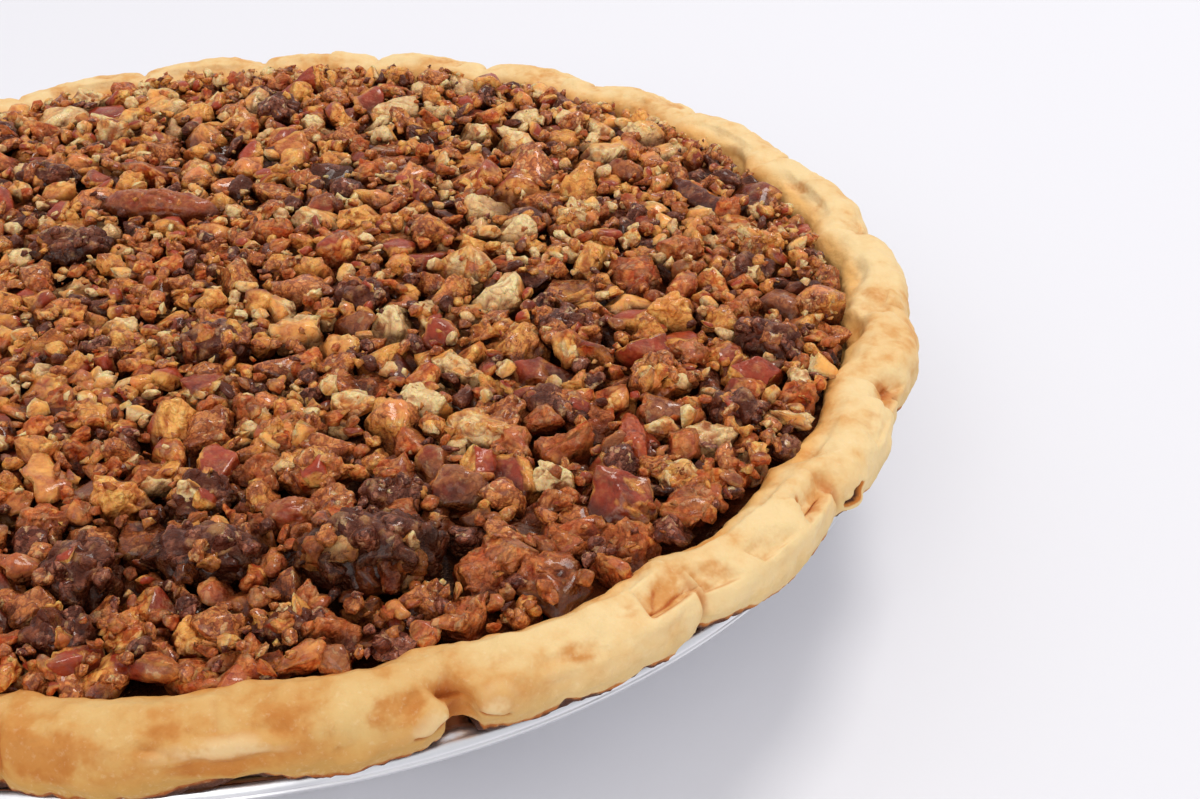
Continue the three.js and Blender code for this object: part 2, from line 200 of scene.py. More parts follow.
class PieCaramelSizes(bpy.types.PropertyGroup):
    edge_height: length("Edge height", 35.9, "Caramel at the crust")
    dome: length("Dome", 1.3, "How much higher the caramel stands in the middle")
    radius: length("Radius", 106.6, "Outer radius of the caramel")
    relief: length("Relief", 1.2, "Height of the caramel's lumps")
    dark: colour("Dark caramel", (40, 14, 6), "Deep caramel between the nuts")
    amber: colour("Amber caramel", (112, 50, 22), "Thin caramel over nuts")


class PieNutSizes(bpy.types.PropertyGroup):
    coarse: how_many("Coarse nuts", 520, "How many of 8 to 14 mm are dropped")
    chopped: how_many("Chopped nuts", 1150, "How many of 5 to 9 mm are dropped")
    small: how_many("Small bits", 2100, "How many of 3 to 5 mm are dropped")
    crumb: how_many("Crumbs", 1600, "How many of 1 to 2 mm are dropped")
    seed: how_many("Seed", 7, "Draw of the scatter")
    cream: colour("Cream meat", (255, 229, 170), "Freshly cut nut meat")
    gold: colour("Golden meat", (254, 190, 102), "Toasted nut meat")
    toffee: colour("Toffee meat", (222, 120, 58), "Nut meat soaked with caramel")
    umber: colour("Umber meat", (164, 82, 44), "Nut meat steeped in dark caramel")
    russet: colour("Russet skin", (172, 66, 40), "Lighter pecan skin")
    maroon: colour("Maroon skin", (92, 32, 24), "Darker pecan skin")
    sugar: colour("Sugar", (240, 160, 92), "Tan sugar coat")
    plum: colour("Dark clump", (90, 40, 28), "Clump coated in dark caramel")
    # The haze colour is painted sheen: a pale reflection on the clumps' glossy ridges
    painted_sheen: colour("Haze", (164, 104, 80), "Milky film of set sugar on the clumps")


class PieStageSizes(bpy.types.PropertyGroup):
    eye: bpy.props.FloatVectorProperty(
        name="Eye", description="Where the camera stands", default=(0.0, -0.2607, 0.1766),
        subtype="TRANSLATION",
    )
    turn: angle_of("Turn", 14.05, "Camera's turn from +Y to +X")
    tip: angle_of("Tip", 32.56, "Camera's tilt below the horizon")
    roll: angle_of("Roll", -0.21, "Camera's roll")
    lens: bpy.props.FloatProperty(name="Lens", description="Focal length in millimetres", default=48.0)
    floor: colour("Floor", (237, 236, 240), "Pale floor")


SIZE_GROUPS = {
    "pie_tin": PieTinSizes,
    "pie_crust": PieCrustSizes,
    "pie_caramel": PieCaramelSizes,
    "pie_nuts": PieNutSizes,
    "pie_stage": PieStageSizes,
}


# ---------------------------------------------------------------- node expressions


class Wire:
    """A node socket that can stand in an expression; each operation adds its node to the tree."""

    def __init__(self, graph, socket):
        self.graph = graph
        self.socket = socket

    def _join(self, operation, *values):
        vector = any(isinstance(v, Wire) and v.socket.type == "VECTOR" for v in values)
        return self.graph.vector(operation, *values) if vector else self.graph.math(operation, *values)

    def __add__(self, other):
        return self._join("ADD", self, other)

    __radd__ = __add__

    def __sub__(self, other):
        return self._join("SUBTRACT", self, other)

    def __rsub__(self, other):
        return self._join("SUBTRACT", other, self)

    def __mul__(self, other):
        return self._join("MULTIPLY", self, other)

    __rmul__ = __mul__

    def __truediv__(self, other):
        return self._join("DIVIDE", self, other)

    def __rtruediv__(self, other):
        return self._join("DIVIDE", other, self)

    def __pow__(self, other):
        return self.graph.math("POWER", self, other)


class Graph:
    """Adds nodes to one tree, from expressions or by their type."""

    def __init__(self, tree):
        self.tree = tree

    def feed(self, socket, value):
        if isinstance(value, Wire):
            self.tree.links.new(value.socket, socket)
        elif socket.type in ("VECTOR", "ROTATION") and isinstance(value, (int, float)):
            socket.default_value = (value,) * 3
        elif socket.type == "RGBA" and len(value) == 3:
            socket.default_value = (*value, 1.0)
        else:
            socket.default_value = value

    def node(self, kind, settings=None, values=None):
        """A node of any type: its settings first, then the values or links of its sockets."""
        made = self.tree.nodes.new(kind)
        for name, value in (settings or {}).items():
            setattr(made, name, value)
        self.fill(made, values or {})
        return made

    def fill(self, made, values):
        for key, value in values.items():
            self.feed(self.pick(made.inputs, key), value)

    @staticmethod
    def pick(sockets, key):
        """The socket with that identifier, or else with that name or number."""
        found = [s for s in sockets if s.identifier == key]
        return found[0] if found else sockets[key]

    def out(self, made, key=0):
        return Wire(self, self.pick(made.outputs, key))

    def math(self, operation, *values):
        return self.out(self.node("ShaderNodeMath", {"operation": operation}, dict(enumerate(values))))

    def vector(self, operation, *values):
        made = self.node("ShaderNodeVectorMath", {"operation": operation}, dict(enumerate(values)))
        scalar = operation in ("LENGTH", "DOT_PRODUCT")
        return self.out(made, "Value" if scalar else "Vector")

    def lower(self, first, second):
        return self.math("MINIMUM", first, second)

    def higher(self, first, second):
        return self.math("MAXIMUM", first, second)

    def clamped(self, value):
        return self.lower(self.higher(value, 0.0), 1.0)

    def step(self, value, low, high):
        """0 below low, 1 above high, smooth between."""
        made = self.node(
            "ShaderNodeMapRange",
            {"interpolation_type": "SMOOTHSTEP"},
            {"Value": value, "From Min": low, "From Max": high},
        )
        return self.out(made, "Result")

    def mix(self, share, first, second, blend="MIX"):
        made = self.node(
            "ShaderNodeMix",
            {"data_type": "RGBA", "blend_type": blend},
            {"Factor_Float": share, "A_Color": first, "B_Color": second},
        )
        return self.out(made, "Result_Color")

    def tint(self, base, other, share):
        return self.mix(share, base, other, "MULTIPLY")

    def noise(self, place, scale, detail=2.0, roughness=0.5):
        values = {"Vector": place, "Scale": scale, "Detail": detail, "Roughness": roughness}
        return self.out(self.node("ShaderNodeTexNoise", values=values))

    def cells(self, place, scale, feature="F1"):
        return self.node(
            "ShaderNodeTexVoronoi", {"feature": feature}, {"Vector": place, "Scale": scale}
        )

    def split(self, vector):
        made = self.node("ShaderNodeSeparateXYZ", values={0: vector})
        return [self.out(made, axis) for axis in "XYZ"]

    def vec(self, x, y, z):
        return self.out(self.node("ShaderNodeCombineXYZ", values={0: x, 1: y, 2: z}))


class FieldGraph(Graph):
    """A Geometry Nodes tree: named inputs, attributes and the flow of geometry."""

    SOCKETS = {float: "NodeSocketFloat", int: "NodeSocketInt"}

    def __init__(self, name, inputs):
        super().__init__(bpy.data.node_groups.new(name, "GeometryNodeTree"))
        face = self.tree.interface
        face.new_socket("Geometry", in_out="INPUT", socket_type="NodeSocketGeometry")
        self.sockets = {}
        for label, value in inputs.items():
            socket = face.new_socket(label, in_out="INPUT", socket_type=self.SOCKETS[type(value)])
            socket.default_value = value
            self.sockets[label] = (socket.identifier, value)
        finish = face.new_socket("Finish", in_out="INPUT", socket_type="NodeSocketMaterial")
        self.sockets["Finish"] = (finish.identifier, None)
        face.new_socket("Geometry", in_out="OUTPUT", socket_type="NodeSocketGeometry")
        self.entry = self.tree.nodes.new("NodeGroupInput")
        self.exit = self.tree.nodes.new("NodeGroupOutput")

    def given(self, label):
        return Wire(self, self.entry.outputs[label])

    def named(self, label, kind="FLOAT"):
        made = self.node("GeometryNodeInputNamedAttribute", {"data_type": kind}, {"Name": label})
        return self.out(made, "Attribute")

    def keep(self, geometry, label, value, kind="FLOAT"):
        """Stores a value on the points as a named attribute."""
        made = self.node(
            "GeometryNodeStoreNamedAttribute",
            {"data_type": kind, "domain": "POINT"},
            {"Geometry": geometry, "Name": label, "Value": value},
        )
        return self.out(made)

    def draw(self, low, high, identity, seed):
        """A random number for each piece."""
        made = self.node(
            "FunctionNodeRandomValue",
            {"data_type": "FLOAT"},
            {"Min_001": low, "Max_001": high, "ID": identity, "Seed": seed},
        )
        return self.out(made, "Value_001")

    def position(self):
        return self.out(self.node("GeometryNodeInputPosition"))

    def normal(self):
        return self.out(self.node("GeometryNodeInputNormal"))

    def move(self, geometry, place=None, offset=None):
        values = {"Geometry": geometry}
        if place is not None:
            values["Position"] = place
        if offset is not None:
            values["Offset"] = offset
        return self.out(self.node("GeometryNodeSetPosition", values=values))

    def sink(self, geometry, low, high):
        """Stores how deep each point lies in the heap: 1 up to low above its floor, 0 from high on."""
        height = self.split(self.position())[2] - self.named("floor")
        return self.keep(geometry, "sunk", 1.0 - self.step(height, low, high))

    def finish(self, geometry):
        realized = self.out(self.node("GeometryNodeRealizeInstances", values={"Geometry": geometry}))
        shaded = self.out(self.node("GeometryNodeSetShadeSmooth", values={"Geometry": realized}))
        coated = self.node(
            "GeometryNodeSetMaterial", values={"Geometry": shaded, "Material": self.given("Finish")}
        )
        self.tree.links.new(coated.outputs[0], self.exit.inputs[0])


def linked(name, data):
    """A new object in the scene."""
    made = bpy.data.objects.new(name, data)
    bpy.context.scene.collection.objects.link(made)
    return made


def grown(name, source, graph, finish, **inputs):
    """Runs a tree over a source mesh and returns the plain mesh object that comes out."""
    holder = linked(name + "_source", source)
    modifier = holder.modifiers.new("Grow", "NODES")
    modifier.node_group = graph.tree
    for label, (identifier, value) in graph.sockets.items():
        chosen = inputs.get(label.lower().replace(" ", "_"), value)
        modifier[identifier] = finish if label == "Finish" else chosen
    evaluated = holder.evaluated_get(bpy.context.evaluated_depsgraph_get())
    mesh = bpy.data.meshes.new_from_object(evaluated)
    bpy.data.objects.remove(holder)
    mesh.name = name
    if not mesh.polygons:
        raise RuntimeError(f"{name} came out empty")
    return linked(name, mesh)


# ---------------------------------------------------------------- meshes


def store(mesh, label, values, kind="FLOAT"):
    """Puts one value for each vertex on a mesh."""
    layer = mesh.attributes.new(label, kind, "POINT")
    field = "vector" if kind == "FLOAT_VECTOR" else "value"
    numbers = np.ascontiguousarray(values, np.int32 if kind == "INT" else np.float32)
    layer.data.foreach_set(field, numbers.ravel())


def ring_mesh(name, rings):
    """A closed skin over rings of equal count, from a point on the axis to another."""
    rows, count = rings.shape[:2]
    bottom = [0, 0, rings[0, :, 2].mean()]
    top = [0, 0, rings[-1, :, 2].mean()]
    points = np.vstack([rings.reshape(-1, 3), [bottom, top]])
    here = np.arange(count)
    after = (here + 1) % count
    starts = range(0, (rows - 1) * count, count)
    quads = np.vstack([
        np.column_stack([low + here, low + after, low + count + after, low + count + here]) for low in starts
    ])
    first, last = rows * count, rows * count + 1
    final = (rows - 1) * count
    caps = np.vstack([
        np.column_stack([after, here, np.full(count, first)]),
        np.column_stack([final + here, final + after, np.full(count, last)]),
    ])
    mesh = bpy.data.meshes.new(name)
    mesh.from_pydata(points.tolist(), [], quads.tolist() + caps.tolist())
    mesh.polygons.foreach_set("use_smooth", np.ones(len(mesh.polygons), bool))
    mesh.update()
    return mesh


def directions(count):
    return np.linspace(0, FULL_TURN, count, endpoint=False)


def turned_rings(profile, around):
    """Rings for a round profile of (radius, height) rows, with a point in each direction."""
    profile = np.asarray(profile, float)
    rings = np.empty((len(profile), len(around), 3))
    rings[..., 0] = profile[:, :1] * np.cos(around)
    rings[..., 1] = profile[:, :1] * np.sin(around)
    rings[..., 2] = profile[:, 1:2]
    return rings


def placed(piece, slot, *nodes):
    """Lets a finished piece ride on the pie and stand for its CAD nodes."""
    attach(piece, ROOT)
    if nodes:
        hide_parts(*nodes)


# ---------------------------------------------------------------- materials


def new_material(name):
    """A material with its node graph, its shader and the place of each point on the piece."""
    material = bpy.data.materials.new(name)
    material.use_nodes = True
    graph = Graph(material.node_tree)
    shader = next(n for n in graph.tree.nodes if n.type == "BSDF_PRINCIPLED")
    place = graph.out(graph.node("ShaderNodeTexCoord"), "Object")
    return material, graph, shader, place


def attribute(graph, label):
    return graph.out(graph.node("ShaderNodeAttribute", {"attribute_name": label}), "Fac")


def bumped(graph, height, distance, strength):
    values = {"Height": height, "Distance": distance, "Strength": strength}
    return graph.out(graph.node("ShaderNodeBump", values=values), "Normal")


def foil_material(sizes):
    """Bright foil with duller clouds and a soft unevenness."""
    material, graph, shader, place = new_material("Pie foil")
    cloud = graph.noise(place, 60.0, 3.0)
    grain = graph.noise(place, 900.0, 2.0)
    graph.fill(shader, {
        "Base Color": graph.mix(graph.step(cloud, 0.35, 0.75), sizes.metal, srgb(218, 218, 221)),
        "Roughness": 0.24 + 0.16 * cloud + 0.06 * grain,
        "Metallic": 1.0,
        "Normal": bumped(graph, cloud * 3.0 + grain * 0.2, 0.0002, 0.5),
    })
    return material


def pastry_material(sizes):
    """Pastry that is pale at its hem, toasted in patches and browned where it was pressed, with painted shade
    in its creases and gaps, painted highlights on its mounds and a painted warm cast inside.
    """
    material, graph, shader, place = new_material("Baked pastry")
    patches = graph.noise(place, 70.0, 3.0, 0.55)
    mottle = graph.noise(place, 260.0, 3.0, 0.6)
    flour = graph.noise(place, 1100.0, 3.0, 0.65)
    names = ("browned", "dark", "low", "baked", "hem", "inner")
    browned, dark, low, baked, hem, inner = (attribute(graph, name) for name in names)
    toasted = graph.step(patches * 0.7 + mottle * 0.3 + baked * (0.08 + 0.16 * low), 0.42, 0.64)
    base = graph.mix(toasted, sizes.pale, sizes.golden)
    deep = graph.step(patches * 0.55 + mottle * 0.45 + baked * (0.04 + 0.1 * low), 0.53, 0.68)
    base = graph.mix(deep * 0.85, base, sizes.brown)
    skirt = graph.step(low + (patches - 0.5) * 0.8 + (mottle - 0.5) * 0.5, 0.62, 0.98)
    base = graph.mix(skirt * 0.75, base, sizes.hem)
    uneven = (patches - 0.5) * 1.6 + (mottle - 0.5) * 2.2
    marks = graph.step(browned * (1.0 + uneven) + uneven * 0.3 * graph.step(browned, 0.0, 0.3), 0.08, 1.0)
    toast = graph.mix(graph.step(mottle, 0.4, 0.66), sizes.brown, sizes.toast)
    base = graph.mix(marks * 0.9, base, toast)
    base = graph.tint(base, srgb(228, 208, 162), baked * (0.62 + 0.38 * low))
    # Painted highlight: raised marks, which carry negative browning, get a pale top
    raised = graph.clamped(-1.0 * browned)
    base = graph.mix(raised * graph.step(mottle, 0.36, 0.6) * 0.8, base, srgb(247, 220, 166))
    base = graph.mix(hem * graph.step(flour, 0.45, 0.6) * 0.5, base, srgb(240, 214, 164))
    # Painted warm light: the inner side is tinted warm to stand for light bounced into its shade
    base = graph.tint(base, srgb(255, 226, 184), inner)
    # Painted shade from the rim's darkness, orange first and then dark brown; at the hem it is partly a syrup
    # stain
    base = graph.tint(base, srgb(214, 150, 84), graph.step(dark, 0.04, 0.4))
    base = graph.mix(graph.step(dark * (0.55 + 0.8 * patches), 0.45, 0.95), base, srgb(74, 36, 16))
    base = graph.mix(graph.step(flour, 0.56, 0.72) * 0.14, base, srgb(252, 232, 192))
    graph.fill(shader, {
        "Base Color": base,
        "Roughness": 0.56 + 0.2 * mottle,
        "Subsurface Weight": 0.1,
        "Subsurface Radius": (0.9, 0.5, 0.25),
        "Subsurface Scale": 0.002,
        "Specular IOR Level": 0.3,
        "Normal": bumped(graph, mottle * 0.9 + flour * (0.35 + 0.9 * hem), 0.0006, 0.75),
    })
    return material


def caramel_material(sizes):
    """Dark glossy caramel with thinner amber places."""
    material, graph, shader, place = new_material("Set caramel")
    cloud = graph.noise(place, 120.0, 3.0)
    fine = graph.noise(place, 900.0, 3.0, 0.6)
    graph.fill(shader, {
        "Base Color": graph.mix(graph.step(cloud, 0.42, 0.75), sizes.dark, sizes.amber),
        "Roughness": 0.16 + 0.3 * fine,
        "Specular IOR Level": 0.35,
        "Specular Tint": srgb(255, 170, 100),
        "Coat Weight": 0.12,
        "Coat Roughness": 0.12,
        "Normal": bumped(graph, cloud + fine * 0.8, 0.0009, 0.9),
    })
    return material


def nut_looks(nuts):
    """For each kind: its flesh, its two skin colours, how soaked in caramel, how rough and how gritty."""
    return {
        "half": (nuts.gold, srgb(182, 80, 42), srgb(136, 52, 30), 0.2, 0.42, 0.15),
        "skin": (nuts.gold, nuts.russet, nuts.maroon, 0.3, 0.38, 0.2),
        "meat": (nuts.cream, nuts.gold, nuts.russet, 0.15, 0.44, 0.2),
        "cluster": (nuts.toffee, nuts.plum, nuts.maroon, 0.7, 0.3, 0.9),
        "crumb": (nuts.gold, nuts.sugar, nuts.toffee, 0.6, 0.46, 0.9),
        "shell": (nuts.toffee, nuts.maroon, nuts.plum, 0.3, 0.34, 0.1),
    }


def nut_material(kind, nuts, caramel):
    """Nut meat and skin under an uneven film of caramel, from the values stored on the pieces, with painted
    shade in hollows and low in the heap, and painted highlights and sheen on tops and ridges.
    """
    flesh, light, dark, soaked, rough, grit = nut_looks(nuts)[kind]
    clump = kind == "cluster"
    material, graph, shader, place = new_material(f"Pecan {kind}")
    names = ("tone", "skin", "sunk", "ridge", "bit")
    tone, skin, sunk, ridge, bit = (attribute(graph, name) for name in names)
    cloud = graph.noise(place, 260.0, 3.0, 0.55)
    speck = graph.noise(place, 950.0, 3.0, 0.65)
    film = graph.noise(place, 420.0, 3.0, 0.6)
    grains = graph.cells(place + graph.noise(place, 800.0) * 0.0022, 1050.0)
    grain = graph.split(graph.out(grains, "Color"))[0]
    knob = 1.0 - graph.out(grains, "Distance")
    lumps = graph.cells(place + graph.noise(place, 500.0) * 0.003, 540.0)
    lump = 1.0 - graph.out(lumps, "Distance")
    shift = graph.split(graph.out(lumps, "Color"))[0] - 0.5
    shade = graph.step(tone, 0.15, 0.85) + (cloud - 0.5) * 1.1 + (film - 0.5) * 0.8 + soaked * 0.2
    shade = shade + shift * 0.34
    meat = graph.mix(graph.step(shade, 0.26, 0.62), flesh, nuts.gold)
    meat = graph.mix(graph.step(shade, 0.58, 0.86), meat, nuts.toffee)
    meat = graph.mix(graph.step(shade, 0.9, 1.2), meat, nuts.umber)
    hull = graph.mix(graph.step(cloud * 0.8 + tone * 0.5, 0.45, 0.9), light, dark)
    if clump:
        patch = tone * 0.7 + bit * 0.2 + cloud * 0.5
        hull = graph.mix(graph.step(patch, 0.82, 1.0) * 0.7, hull, nuts.russet)
        # Painted sheen: ridges and film patches of the clumps take the pale haze colour as a painted
        # reflection
        hull = graph.mix(graph.step(film * 0.6 + ridge * 0.4, 0.46, 0.68) * 0.55, hull, nuts.painted_sheen)
        meat = graph.mix(0.85, meat, hull)
    base = graph.mix(skin, meat, hull)
    if not clump:
        base = graph.mix(skin * (1.0 - skin) * 1.8, base, nuts.gold)
        scuff = graph.step(film * 0.6 + speck * 0.4, 0.5, 0.66) * skin
        base = graph.mix(scuff * 0.3, base, srgb(206, 132, 84))
        bare = 1.0 - skin * 0.8
        # Painted shade in the crevices between the lumps
        crevice_shade = graph.step(lump, 0.6, 0.34) * bare * (0.24 + 0.6 * graph.step(shade, 0.3, 0.7))
        base = graph.tint(base, srgb(206, 124, 62), crevice_shade)
        # Painted highlight on the tops of the lumps
        top = graph.step(lump, 0.64, 0.9) * bare * (0.3 + 0.34 * graph.step(shade, 0.6, 0.25))
        base = graph.mix(top, base, srgb(255, 222, 146))
    wet = graph.step(cloud * 0.5 + film * 0.5 + soaked * 0.2, 0.5, 0.72)
    base = graph.tint(base, srgb(230, 170, 104), wet * 0.5)
    # Painted shade in the hollows: grooves, folds and torn pits
    base = graph.tint(base, srgb(176, 92, 46), graph.step(ridge, 0.5, 0.15) * 0.8)
    # Painted highlight on the crests
    base = graph.mix(graph.step(ridge, 0.6, 0.95) * (0.1 + 0.2 * grit), base, srgb(242, 196, 124))
    sugared = graph.step(cloud * 0.5 + film * 0.3 + tone * 0.22 + grit * 0.1, 0.52, 0.62)
    sugared = sugared * (0.22 + 0.62 * grit)
    if clump:
        crystal = graph.mix(graph.step(grain, 0.2, 0.8), nuts.plum, srgb(190, 126, 100))
    else:
        crystal = graph.mix(graph.step(grain, -0.2, 0.6), nuts.umber, nuts.sugar)
    crystal = graph.mix(graph.step(grain, 0.86, 1.0) * 0.8, crystal, nuts.cream)
    base = graph.mix(sugared, base, crystal)
    # Painted shade in the cracks between the sugar grains
    base = graph.tint(base, srgb(150, 76, 40), sugared * graph.step(knob, 0.56, 0.36) * 0.8)
    # Painted shade low in the heap, together with the dark caramel pooled there
    base = graph.tint(base, srgb(214, 176, 150), sunk)
    base = graph.mix(graph.step(sunk, 0.3, 1.0) * 0.65, base, caramel.dark)
    relief = cloud * 0.4 + film * 0.7 + speck * (0.5 + 0.8 * grit) + knob * sugared * 1.1
    dull = rough + 0.3 * speck * (0.4 + grit) - 0.14 * wet
    glaze = 0.1 + (0.3 if clump else 0.45) * wet
    if not clump:
        relief = relief * (1.0 - 0.5 * skin) + lump * bare * 1.3
        dull = dull - 0.08 * skin
        glaze = glaze + 0.28 * skin
    graph.fill(shader, {
        "Base Color": base,
        "Roughness": graph.clamped(dull),
        "Coat Weight": glaze,
        "Coat Roughness": 0.1,
        "Coat Tint": srgb(255, 240, 222),
        "Specular IOR Level": 0.34,
        "Specular Tint": srgb(255, 210, 166),
        "Subsurface Weight": 0.3,
        "Subsurface Radius": (1.0, 0.4, 0.12),
        "Subsurface Scale": 0.0012,
        "Normal": bumped(graph, relief, 0.0009, 0.95),
    })
    return material


# ---------------------------------------------------------------- geometry trees


def crust_tree(sizes):
    """Bends rows of rim points round a squared ellipse that swings out at the bulges."""
    graph = FieldGraph("Pastry rim", {
        "Rim radius": sizes.rim_radius, "Rim height": sizes.rim_height, "Half width": sizes.half_width,
        "Half height": sizes.half_height, "Squareness": sizes.squareness, "Flute swing": sizes.swing,
        "Flute dip": sizes.dip, "Rough relief": 0.0004,
    })
    turn, around = graph.named("turn"), graph.named("around")
    bulge, lift, rim = graph.named("bulge"), graph.named("lift"), graph.named("rim")
    cosine, sine = graph.math("COSINE", turn), graph.math("SINE", turn)

    def squared(value):
        size = graph.math("ABSOLUTE", value) ** graph.given("Squareness")
        return graph.math("SIGN", value) * size

    inward = 0.5 - 0.5 * cosine
    swing = graph.given("Flute swing") * (bulge - 0.55) * (1 - 0.15 * inward)
    rise = (lift + graph.given("Flute dip") * (bulge - 0.6)) * graph.higher(sine, 0.0)
    radius = graph.given("Rim radius") + graph.named("drift") + swing
    radius = radius + graph.given("Half width") * squared(cosine)
    height = graph.given("Rim height") + rise + graph.given("Half height") * squared(sine)
    place = graph.vec(radius * graph.math("COSINE", around), radius * graph.math("SINE", around), height)
    bent = graph.node("GeometryNodeSetPosition", values={
        "Geometry": graph.given("Geometry"), "Position": place,
        "Selection": graph.math("GREATER_THAN", rim, 0.5),
    })
    spot = graph.position()
    hem = graph.named("hem")
    waves = graph.noise(spot, 85.0, 2.0) * 1.4 + graph.noise(spot, 200.0, 2.0) * 1.2 - 1.3
    fine = graph.noise(spot, 420.0, 3.0, 0.65)
    ragged = (fine - 0.5) * (0.25 + 2.4 * hem)
    relief = (waves * 4.0 + ragged * 2.0) * graph.given("Rough relief")
    depth = (relief - graph.named("dent_depth")) * graph.named("free")
    torn = graph.noise(spot, 95.0, 3.0) + (graph.noise(spot, 700.0, 2.0) - 0.5) * 0.3
    drop = hem * (0.0013 * graph.step(torn, 0.34, 0.56) - 0.0001)
    graph.finish(graph.move(graph.out(bent), offset=graph.normal() * depth - graph.vec(0.0, 0.0, drop)))
    return graph


def relief_tree(sizes):
    """Raises lumps on a surface along its normals."""
    graph = FieldGraph("Caramel relief", {"Relief": sizes.relief, "Lump scale": 160.0})
    spot = graph.position()
    lumps = graph.noise(spot, graph.given("Lump scale"), 3.0) - 0.5
    pools = graph.noise(spot, 45.0, 1.0) - 0.5
    depth = (lumps + pools * 0.8) * graph.given("Relief") * 2.0 * graph.named("free")
    graph.finish(graph.move(graph.given("Geometry"), offset=graph.normal() * depth))
    return graph


def syrup_tree():
    """Sweeps a bead of uneven thickness along a closed line."""
    graph = FieldGraph("Baked-on syrup", {"Thickness": 0.0005, "Break scale": 130.0})
    line = graph.out(graph.node("GeometryNodeMeshToCurve", values={"Mesh": graph.given("Geometry")}))
    spot = graph.position()
    swell = graph.noise(spot, graph.given("Break scale"), 3.0, 0.6)
    thick = graph.given("Thickness") * (0.12 + graph.step(swell, 0.36, 0.62))
    ring = graph.node("GeometryNodeCurvePrimitiveCircle", values={"Resolution": 10, "Radius": 1.0})
    swept = graph.node("GeometryNodeCurveToMesh", values={
        "Curve": line, "Profile Curve": graph.out(ring), "Scale": thick,
    })
    graph.finish(graph.out(swept))
    return graph


def fragment_tree():
    """Grows one nut fragment on each point: an ellipsoid with broken faces, lumps, a groove and grit."""
    graph = FieldGraph("Nut fragments", {
        "Detail": 3, "Cuts": 0.85, "Cut spread": 0.25, "Cut low": -0.8, "Cut high": 0.8, "Break": 0.0005,
        "Lumps": 0.0006, "Lump scale": 220.0, "Clump": 0.0, "Clump scale": 300.0, "Groove": 0.0,
        "Wrinkle": 0.0, "Grit": 0.0003, "Grit scale": 800.0, "Edge": 0.025,
    })
    ball = graph.node("GeometryNodeMeshIcoSphere", values={
        "Radius": 1.0, "Subdivisions": graph.given("Detail"),
    })
    ball = graph.keep(graph.out(ball, "Mesh"), "ray", graph.position(), "FLOAT_VECTOR")
    points = graph.node("GeometryNodeMeshToPoints", values={"Mesh": graph.given("Geometry"), "Radius": MM})
    spread = graph.node("GeometryNodeInstanceOnPoints", values={
        "Points": graph.out(points), "Instance": ball,
    })
    solid = graph.out(graph.node("GeometryNodeRealizeInstances", values={"Geometry": graph.out(spread)}))

    ray = graph.vector("NORMALIZE", graph.named("ray", "FLOAT_VECTOR"))
    half = graph.named("half", "FLOAT_VECTOR")
    centre = graph.named("centre", "FLOAT_VECTOR")
    piece = graph.named("piece", "INT")
    size = graph.vector("LENGTH", half)

    def drawn(low, high, number):
        return graph.draw(low, high, piece, number)

    shift = graph.vec(drawn(0.0, 9.0, 11), drawn(0.0, 9.0, 12), drawn(0.0, 9.0, 13))
    local = graph.vector("DIVIDE", ray, half)
    whole = 1.0 / graph.vector("LENGTH", local)
    fine = graph.higher(0.0042 / size, 1.0)
    spot = ray * whole * fine + shift
    lumps = (graph.noise(spot, graph.given("Lump scale"), 1.0) - 0.5) * 2.0
    whole = whole + lumps * graph.given("Lumps") * 2.0 / fine
    _, y, z = graph.split(local)
    furrow = graph.math("EXPONENT", -1.0 * (graph.math("ARCTAN2", y, z) / 0.4) ** 2.0)
    whole = whole * (1.0 - graph.given("Groove") * furrow)
    folds = graph.noise(ray * graph.vec(1.0, 7.0, 7.0) + shift, 1.0, 2.0) - 0.5
    whole = whole * (1.0 + folds * graph.given("Wrinkle"))

    cut = None
    low, high = graph.given("Cut low"), graph.given("Cut high")
    least = graph.given("Cuts")
    for index in range(7):
        first = 20 + index * 4
        x_share, y_share = drawn(-1.0, 1.0, first), drawn(-1.0, 1.0, first + 1)
        normal = graph.vector("NORMALIZE", graph.vec(x_share, y_share, drawn(low, high, first + 2)))
        support = graph.vector("LENGTH", normal * half)
        reach = support * drawn(least, least + graph.given("Cut spread"), first + 3)
        facing = graph.higher(graph.vector("DOT_PRODUCT", ray, normal), 0.02)
        wall = reach / facing
        cut = wall if cut is None else graph.lower(cut, wall)
    torn = graph.noise(spot, 420.0, 3.0, 0.6) - 0.5
    cut = cut + torn * graph.given("Break") * 4.0 / fine
    body = graph.math("SMOOTH_MIN", whole, cut, size * graph.given("Edge"))
    skin = 1.0 - graph.step((whole - cut) / size + torn * 0.12, -0.03, 0.05)

    clumps = graph.cells(spot, graph.given("Clump scale"), "SMOOTH_F1")
    mound = 0.45 - graph.out(clumps, "Distance")
    body = body + graph.given("Clump") * 2.0 * mound / fine
    grit = graph.noise(spot, graph.given("Grit scale"), 3.0, 0.6) - 0.5
    body = body + graph.given("Grit") * grit * (3.0 - 2.0 * skin) / fine

    turned = graph.node("FunctionNodeEulerToRotation", values={0: graph.named("turn", "FLOAT_VECTOR")})
    rotated = graph.node("FunctionNodeRotateVector", values={
        "Vector": ray * body, "Rotation": graph.out(turned),
    })
    solid = graph.keep(solid, "skin", skin)
    ridge = 0.5 + grit * 1.5 + torn * (1.0 - skin) + graph.given("Clump") * mound * 900.0
    ridge = ridge + folds * graph.given("Wrinkle") * 4.0 - furrow * graph.given("Groove")
    solid = graph.keep(solid, "ridge", ridge)
    solid = graph.keep(solid, "bit", graph.split(graph.out(clumps, "Color"))[0])
    moved = graph.move(solid, place=centre + graph.out(rotated))
    graph.finish(graph.sink(moved, 0.0003, 0.0032))
    return graph


